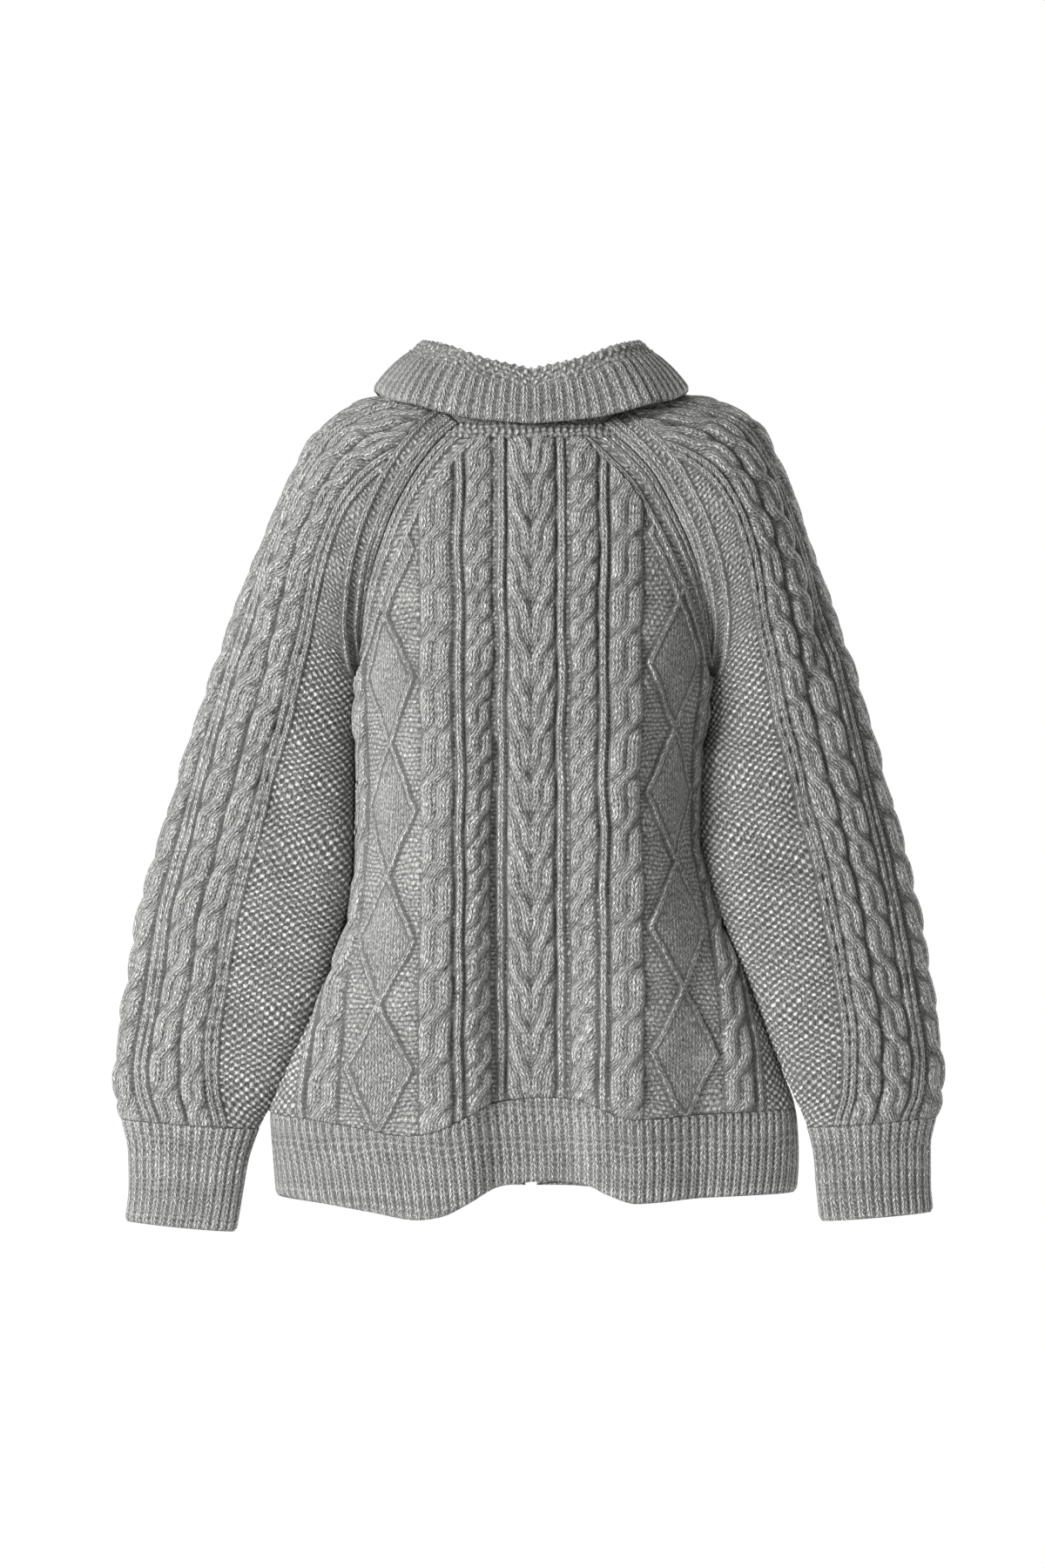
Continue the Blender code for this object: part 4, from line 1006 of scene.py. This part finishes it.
def sleeve_panel(side):
    stations = np.append(yoke_stations, np.linspace(UNDERARM, SLEEVE_END, SLEEVE_ROWS + 1)[1:])
    ground, around = sleeve_grid(side, stations, SLEEVE_COLUMNS_HALF)
    relief = sleeve_relief(around, walked(ground, 0)[:, SLEEVE_COLUMNS_HALF // 2, None])
    for face in FACE:
        beside_seam(relief, ground, side, face)
    # The yoke's edges reach a little under the body, so that no light comes through the seam.
    for edge, beside in ((0, 1), (-1, -2)):
        ground[:YOKE_ROWS, edge] += 1.5 * unit(ground[:YOKE_ROWS, edge] - ground[:YOKE_ROWS, beside])
    relief.settle(ground)
    fill_side(relief, side, np.minimum(around - around[:, :1], around[:, -1:] - around), SLEEVE_FILLED)
    cloth(f"sleeve_{side}", ground, relief, -SIGN[side], ("top",))


for side in SIGN:
    sleeve_panel(side)

# %% [markdown]
# ## Cuffs and welts
# Both are knit one, purl one. The ribs keep their count where a piece narrows, so each is a share of the row.

# %% Cuffs
CUFF_RIBS = 30
CUFF_RIB = 7.6
CUFF_SLUMP = {"left": 11.0, "right": 6.0}     # how much a soft cuff hangs below its solid


def cuff_panel(side, rows=52, columns=91):
    ground, around = sleeve_grid(side, np.linspace(SLEEVE_END + 0.006, CUFF_END, rows), columns)
    slump = CUFF_SLUMP[side] * unit(ground[-1].mean(axis=0) - ground[0].mean(axis=0))
    ground = ground + slump * np.linspace(0, 1, rows)[:, None, None]
    relief = Relief(around, walked(ground, 0)[:, columns // 2, None])
    share = (around - around[:, :1]) / (around[:, -1:] - around[:, :1])
    relief.ribbing(share * CUFF_RIBS, CUFF_RIB)
    cloth(f"cuff_{side}", ground, relief, -SIGN[side], ("bottom",))


for side in SIGN:
    cuff_panel(side)

# %% Welts
SEAM_GAP = 0.3
WELT_RIB = 8.0


def welt_end(side, face, opening, base):
    """A welt's end, at its side vent with an opening towards the hem, or at the zip with none."""
    if opening is None:
        return SIGN[side] * ZIP_OPENING + 0 * base
    reach = QUARTERS[side, face].side_seam(np.minimum(base, BODY_DROP + WELT))
    return SIGN[side] * (reach - opening * (base - BODY_DROP) / WELT)


def welt_panel(node, face, left_end, right_end, rows=42):
    base = np.linspace(BODY_DROP + SEAM_GAP + 0.1, BODY_DROP + WELT, rows)[:, None]
    first, last = (welt_end(side, face, opening, base) for side, opening in (left_end, right_end))
    ribs = round(float(last[0, 0] - first[0, 0]) / WELT_RIB)
    share = np.linspace(0, 1, ribs * 5 + 1)
    around = first + (last - first) * share
    drop = swing(face, around[0], BODY_DROP) + base - BODY_DROP
    ground = torso_point(face, around, drop)
    relief = Relief(around, drop)
    relief.ribbing(share * ribs + 0 * base, WELT_RIB)
    cloth(node, ground, relief, FACE[face], ("bottom", "first", "last"))


welt_panel("back_welt", "back", ("left", 9.0), ("right", 5.0))
welt_panel("front_welt_left", "front", ("left", -2.0), ("left", None))
welt_panel("front_welt_right", "front", ("right", None), ("right", -2.0))

# %% [markdown]
# ## Collar
# One ribbed piece from one side of the zip round to the other. It stands up from the neck seam, turns over and falls
# on the shoulders, and its path is drawn once for each share of the way round.

# %% Collar table
# The collar by its share of the way from centre back to centre front: the fold on
# top, and the lower edge of the turned-down fall. The neck seam comes from the body.
COLLAR = table("share fold_x fold_y fold_z edge_x edge_y edge_z", """
    0, 0 -67 19.5, 0 -81 -26
    0.15, 42 -62 29, 58 -80 -20
    0.26, 72 -45 40, 102 -72 -9
    0.36, 86 -26 43.5, 123 -45 -4
    0.46, 93 -4 45, 136 -8 4
    0.56, 91 17 41, 132 28 -1
    0.66, 86 38 34, 122 61 -13
    0.80, 62 66 8, 96 91 -44
    0.92, 34 86 -18, 55 105 -69
    1, 10 92 -34, 20 109 -86""")
COLLAR_WALL = 3.6
COLLAR_RIBS = 74
FOLD_RADIUS = 4.4
LOOSE = 17.0              # how far the loose knitting reaches from the fold


def neck_line(side):
    """The neck seam of one half, from the centre back to the centre front."""
    end, drop = QUARTERS[side, "back"].raglan(0)
    back = torso_point("back", SIGN[side] * np.linspace(0, end, 30)[:-1], drop)
    end, drop = QUARTERS[side, "front"].raglan(0)
    at = np.linspace(end, ZIP_OPENING, 40)[1:]
    dip = drop + (FRONT_NECK_DROP - drop) * (1 - (at / end) ** FRONT_NECK_CURVE)
    return np.concatenate([back, section(side, 0.0, 60)[0], torso_point("front", SIGN[side] * at, dip)])


NECK = {side: neck_line(side) for side in SIGN}
for side, line in NECK.items():
    print(f"neck seam, {side} half: {walked(line[:, None], 0)[-1, 0]:.0f} mm")


# %% Collar path
def along_line(line, share):
    length = walked(line[:, None], 0)[:, 0]
    return np.stack([np.interp(share * length[-1], length, line[:, k]) for k in range(3)], axis=-1)


def neck_out(points):
    return unit(points * (1.0, 1.0, 0.0))


def collar_path(side, share):
    """The middle of the collar's cloth at one place: up the stand, over the fold, down the fall."""
    neck, before, after = along_line(NECK[side], (share + np.array([0.0, -0.01, 0.01])).clip(0, 1))
    mirror = np.array([SIGN[side], 1.0, 1.0])
    fold, edge = (mirror * [read(COLLAR, line + axis, share) for axis in "xyz"] for line in ("fold_", "edge_"))
    out = unit((edge - fold) * (1.0, 1.0, 0.0))
    up = np.array([0.0, 0.0, 1.0])
    off_seam = unit(np.cross(after - before, neck_out(neck)))
    off_seam = off_seam if off_seam[2] > 0 else -off_seam
    foot = neck - neck_out(neck) * WALL / 2 - off_seam * 0.8
    centre = fold - up * FOLD_RADIUS
    angles = np.radians(np.linspace(180, 0, 9))
    bend = [centre + FOLD_RADIUS * (math.cos(a) * out + math.sin(a) * up) for a in angles]
    belly = (bend[-1] + edge) / 2 + out * 2.0 + up * 2.5
    t = np.linspace(0, 1, 12)[1:, None]
    middle = 2 * belly - (bend[-1] + edge) / 2
    fall = bend[-1] * (1 - t) ** 2 + 2 * middle * t * (1 - t) + edge * t**2
    return np.concatenate([[foot], bend, fall])


def collar_panel(rows=66):
    shares = np.linspace(-1, 1, COLLAR_RIBS * 6 + 1)
    paths = [collar_path("left" if s < 0 else "right", abs(s)) for s in shares]
    ground = np.array([along_line(path, np.linspace(0, 1, rows)) for path in paths]).transpose(1, 0, 2)
    down = walked(ground, 0)
    relief = Relief(shares * 300, down)
    turn = (shares + 1) / 2 * COLLAR_RIBS + 0 * down
    relief.ribbing(turn, 9.5, high=2.3)
    relief.high = relief.high * np.clip(down / 6, 0, 1)
    # The ribs give way to loose bumps where the cloth turns over.
    past = down - np.take_along_axis(down, ground[..., 2].argmax(axis=0)[None], 0)
    bumps = np.clip((LOOSE - np.abs(past - 3)) / 5, 0, 1)
    loose = 0.7 + 1.4 * np.cos(TURN * turn) * np.cos(TURN * past / 9.0)
    relief.high = relief.high * (1 - bumps) + loose * bumps
    relief.purl = np.where(bumps > 0.5, 1.0, relief.purl)
    facing = outward(ground, 1.0)
    outside = -np.sign(facing[-8, len(shares) // 2, 1])
    ground = ground + facing * outside * COLLAR_WALL / 2
    cloth("collar", ground, relief, outside, ("bottom", "first", "last"), thick=COLLAR_WALL)


collar_panel()

# %% [markdown]
# ## The zip
# The tapes are thin woven strips behind the fronts' edges. The teeth repeat down the whole front, which is work for
# Geometry Nodes: points along the centre line, one tooth on each, every second one to the other side.

# %% Zip materials
HERRINGBONE = 0.0024
YARN = 0.0009
METAL = ((0.3, (0.18, 0.17, 0.15, 1.0)), (0.55, (0.36, 0.35, 0.32, 1.0)), (0.8, (0.50, 0.48, 0.45, 1.0)))


def woven_tape():
    recipe = Recipe("woven_zip_tape")
    place = recipe.place()
    # Herringbone: the slant of the yarns turns back along each stripe.
    slant = ((recipe.part(place, 0) / HERRINGBONE).math("FRACT") - 0.5).math("ABSOLUTE") * 2.0
    yarn = ((recipe.part(place, 2) / YARN + slant) * TURN).math("SINE") * 0.5 + 0.5
    fuzz = recipe.noise(place, 2500.0)
    grey = yarn * 0.035 + fuzz * 0.05 + 0.05
    relief = recipe.node("ShaderNodeBump", {}, {"Distance": 0.0002, "Height": yarn + fuzz * 0.4})
    recipe.set(Base_Color=recipe.grey(grey, grey, grey * 0.97), Normal=relief, Roughness=0.8, Sheen_Weight=0.15)
    return recipe.material


def worn_metal():
    recipe = Recipe("antique_zip_metal")
    place = recipe.place()
    cloud = recipe.noise(place, 260.0, 4.0)
    colour = recipe.node("ShaderNodeValToRGB", {"stops": METAL}, {0: cloud})
    relief = recipe.node("ShaderNodeBump", {}, {"Distance": 0.00008, "Height": recipe.noise(place, 2400.0)})
    recipe.set(Base_Color=colour, Normal=relief, Metallic=1.0, Roughness=cloud * 0.3 + 0.36)
    return recipe.material


tape_material = woven_tape()
metal = worn_metal()
for name in ("zip_slider", "zip_box", "zip_pull_tab"):
    for slot in bpy.data.objects[name].material_slots:
        slot.material = metal
print("metal on the slider, box and pull tab")

# %% Tapes
TAPE_WIDTH = 16.0
TAPE = 0.9
TAPE_EDGE = 0.4
ZIP_TOP = 83.0
ZIP_BOTTOM = 685.0
ZIP_BEHIND = 4.6          # the tapes behind the fronts' ground
BOX_HEIGHT = 9.0
CHAIN = 2.2


def zip_line(drops, behind):
    """Points down the centre front, some way behind the fronts' ground."""
    ground = torso_point("front", np.zeros(len(drops)), drops)
    return ground - (0.0, behind, 0.0)


def tape_panel(side, rows=150, columns=9):
    drops = np.linspace(ZIP_TOP, ZIP_BOTTOM, rows)
    x = TAPE_EDGE + TAPE_WIDTH * np.linspace(0, 1, columns)
    ground = zip_line(drops, ZIP_BEHIND)[:, None] + x[None, :, None] * np.array([SIGN[side], 0.0, 0.0])
    relief = Relief(SIGN[side] * x, drops[:, None])
    relief.high = 0.15 * dome(relief.a - 2.0, 2.0) - 0.05
    cloth(
        f"zip_tape_{side}", ground, relief, SIGN[side],
        name=f"zip_tape_cloth_{side}", wool_of=tape_material, thick=TAPE)


for side in SIGN:
    tape_panel(side)


# %% Teeth
PITCH = 0.00135
TOOTH = (0.0042, 0.0026, 0.0013)
STAGGER = 0.0011


def teeth_tree():
    tree = bpy.data.node_groups.new("zip_teeth", "GeometryNodeTree")
    for name, kind in (
        ("Line", "Geometry"), ("Pitch", "Float"), ("Tooth", "Vector"), ("Stagger", "Float"), ("Metal", "Material")):
        tree.interface.new_socket(name, in_out="INPUT", socket_type="NodeSocket" + kind)
    tree.interface.new_socket("Teeth", in_out="OUTPUT", socket_type="NodeSocketGeometry")
    nodes = Nodes(tree)
    given = {socket.name: Signal(nodes, socket) for socket in tree.nodes.new("NodeGroupInput").outputs}
    curve = nodes.node("GeometryNodeMeshToCurve", {}, {"Mesh": given["Line"]})
    points = nodes.node("GeometryNodeCurveToPoints", {"mode": "LENGTH"}, {"Curve": curve, "Length": given["Pitch"]})
    tangent = Signal(nodes, points.socket.node.outputs["Tangent"])
    side = nodes.node("GeometryNodeInputIndex", {}, {}).math("MODULO", 2.0) * 2.0 - 1.0
    offset = nodes.node("ShaderNodeCombineXYZ", {}, {"X": side * given["Stagger"]})
    placed = nodes.node("GeometryNodeSetPosition", {}, {"Geometry": points, "Offset": offset})
    block = nodes.node("GeometryNodeMeshCube", {}, {"Size": given["Tooth"]})
    tooth = nodes.node("GeometryNodeSubdivisionSurface", {}, {"Mesh": block, "Level": 1})
    lean = nodes.node("FunctionNodeAlignRotationToVector", {"axis": "Z", "pivot_axis": "X"}, {"Vector": tangent})
    copies = nodes.node(
        "GeometryNodeInstanceOnPoints", {}, {"Points": placed, "Instance": tooth, "Rotation": lean})
    real = nodes.node("GeometryNodeRealizeInstances", {}, {"Geometry": copies})
    shiny = nodes.node("GeometryNodeSetMaterial", {}, {"Geometry": real, "Material": given["Metal"]})
    nodes.node("NodeGroupOutput", {}, {"Teeth": shiny})
    return tree


def teeth():
    drops = np.linspace(ZIP_TOP + 1, ZIP_BOTTOM - BOX_HEIGHT - 1.2, 200)
    line = bpy.data.meshes.new("zip_line")
    points = zip_line(drops, ZIP_BEHIND - 0.3 - CHAIN / 2) * MM
    line.from_pydata(points.tolist(), [(k, k + 1) for k in range(len(points) - 1)], [])
    guide = new_object("zip_line", line)
    tree = teeth_tree()
    maker = guide.modifiers.new("teeth", "NODES")
    maker.node_group = tree
    sizes = {"Pitch": PITCH, "Tooth": TOOTH, "Stagger": STAGGER, "Metal": metal}
    for item in tree.interface.items_tree:
        if item.name in sizes:
            maker[item.identifier] = sizes[item.name]
    bpy.context.view_layer.update()
    mesh = bpy.data.meshes.new_from_object(guide.evaluated_get(bpy.context.evaluated_depsgraph_get()))
    bpy.data.objects.remove(guide)
    # The cubes bring an empty first slot with them.
    mesh.materials.clear()
    mesh.materials.append(metal)
    return new_object("zip_teeth", mesh)


zip_teeth = teeth()
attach(zip_teeth, "garment")
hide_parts("zip_chain")
print("teeth:", len(zip_teeth.data.polygons), "faces")
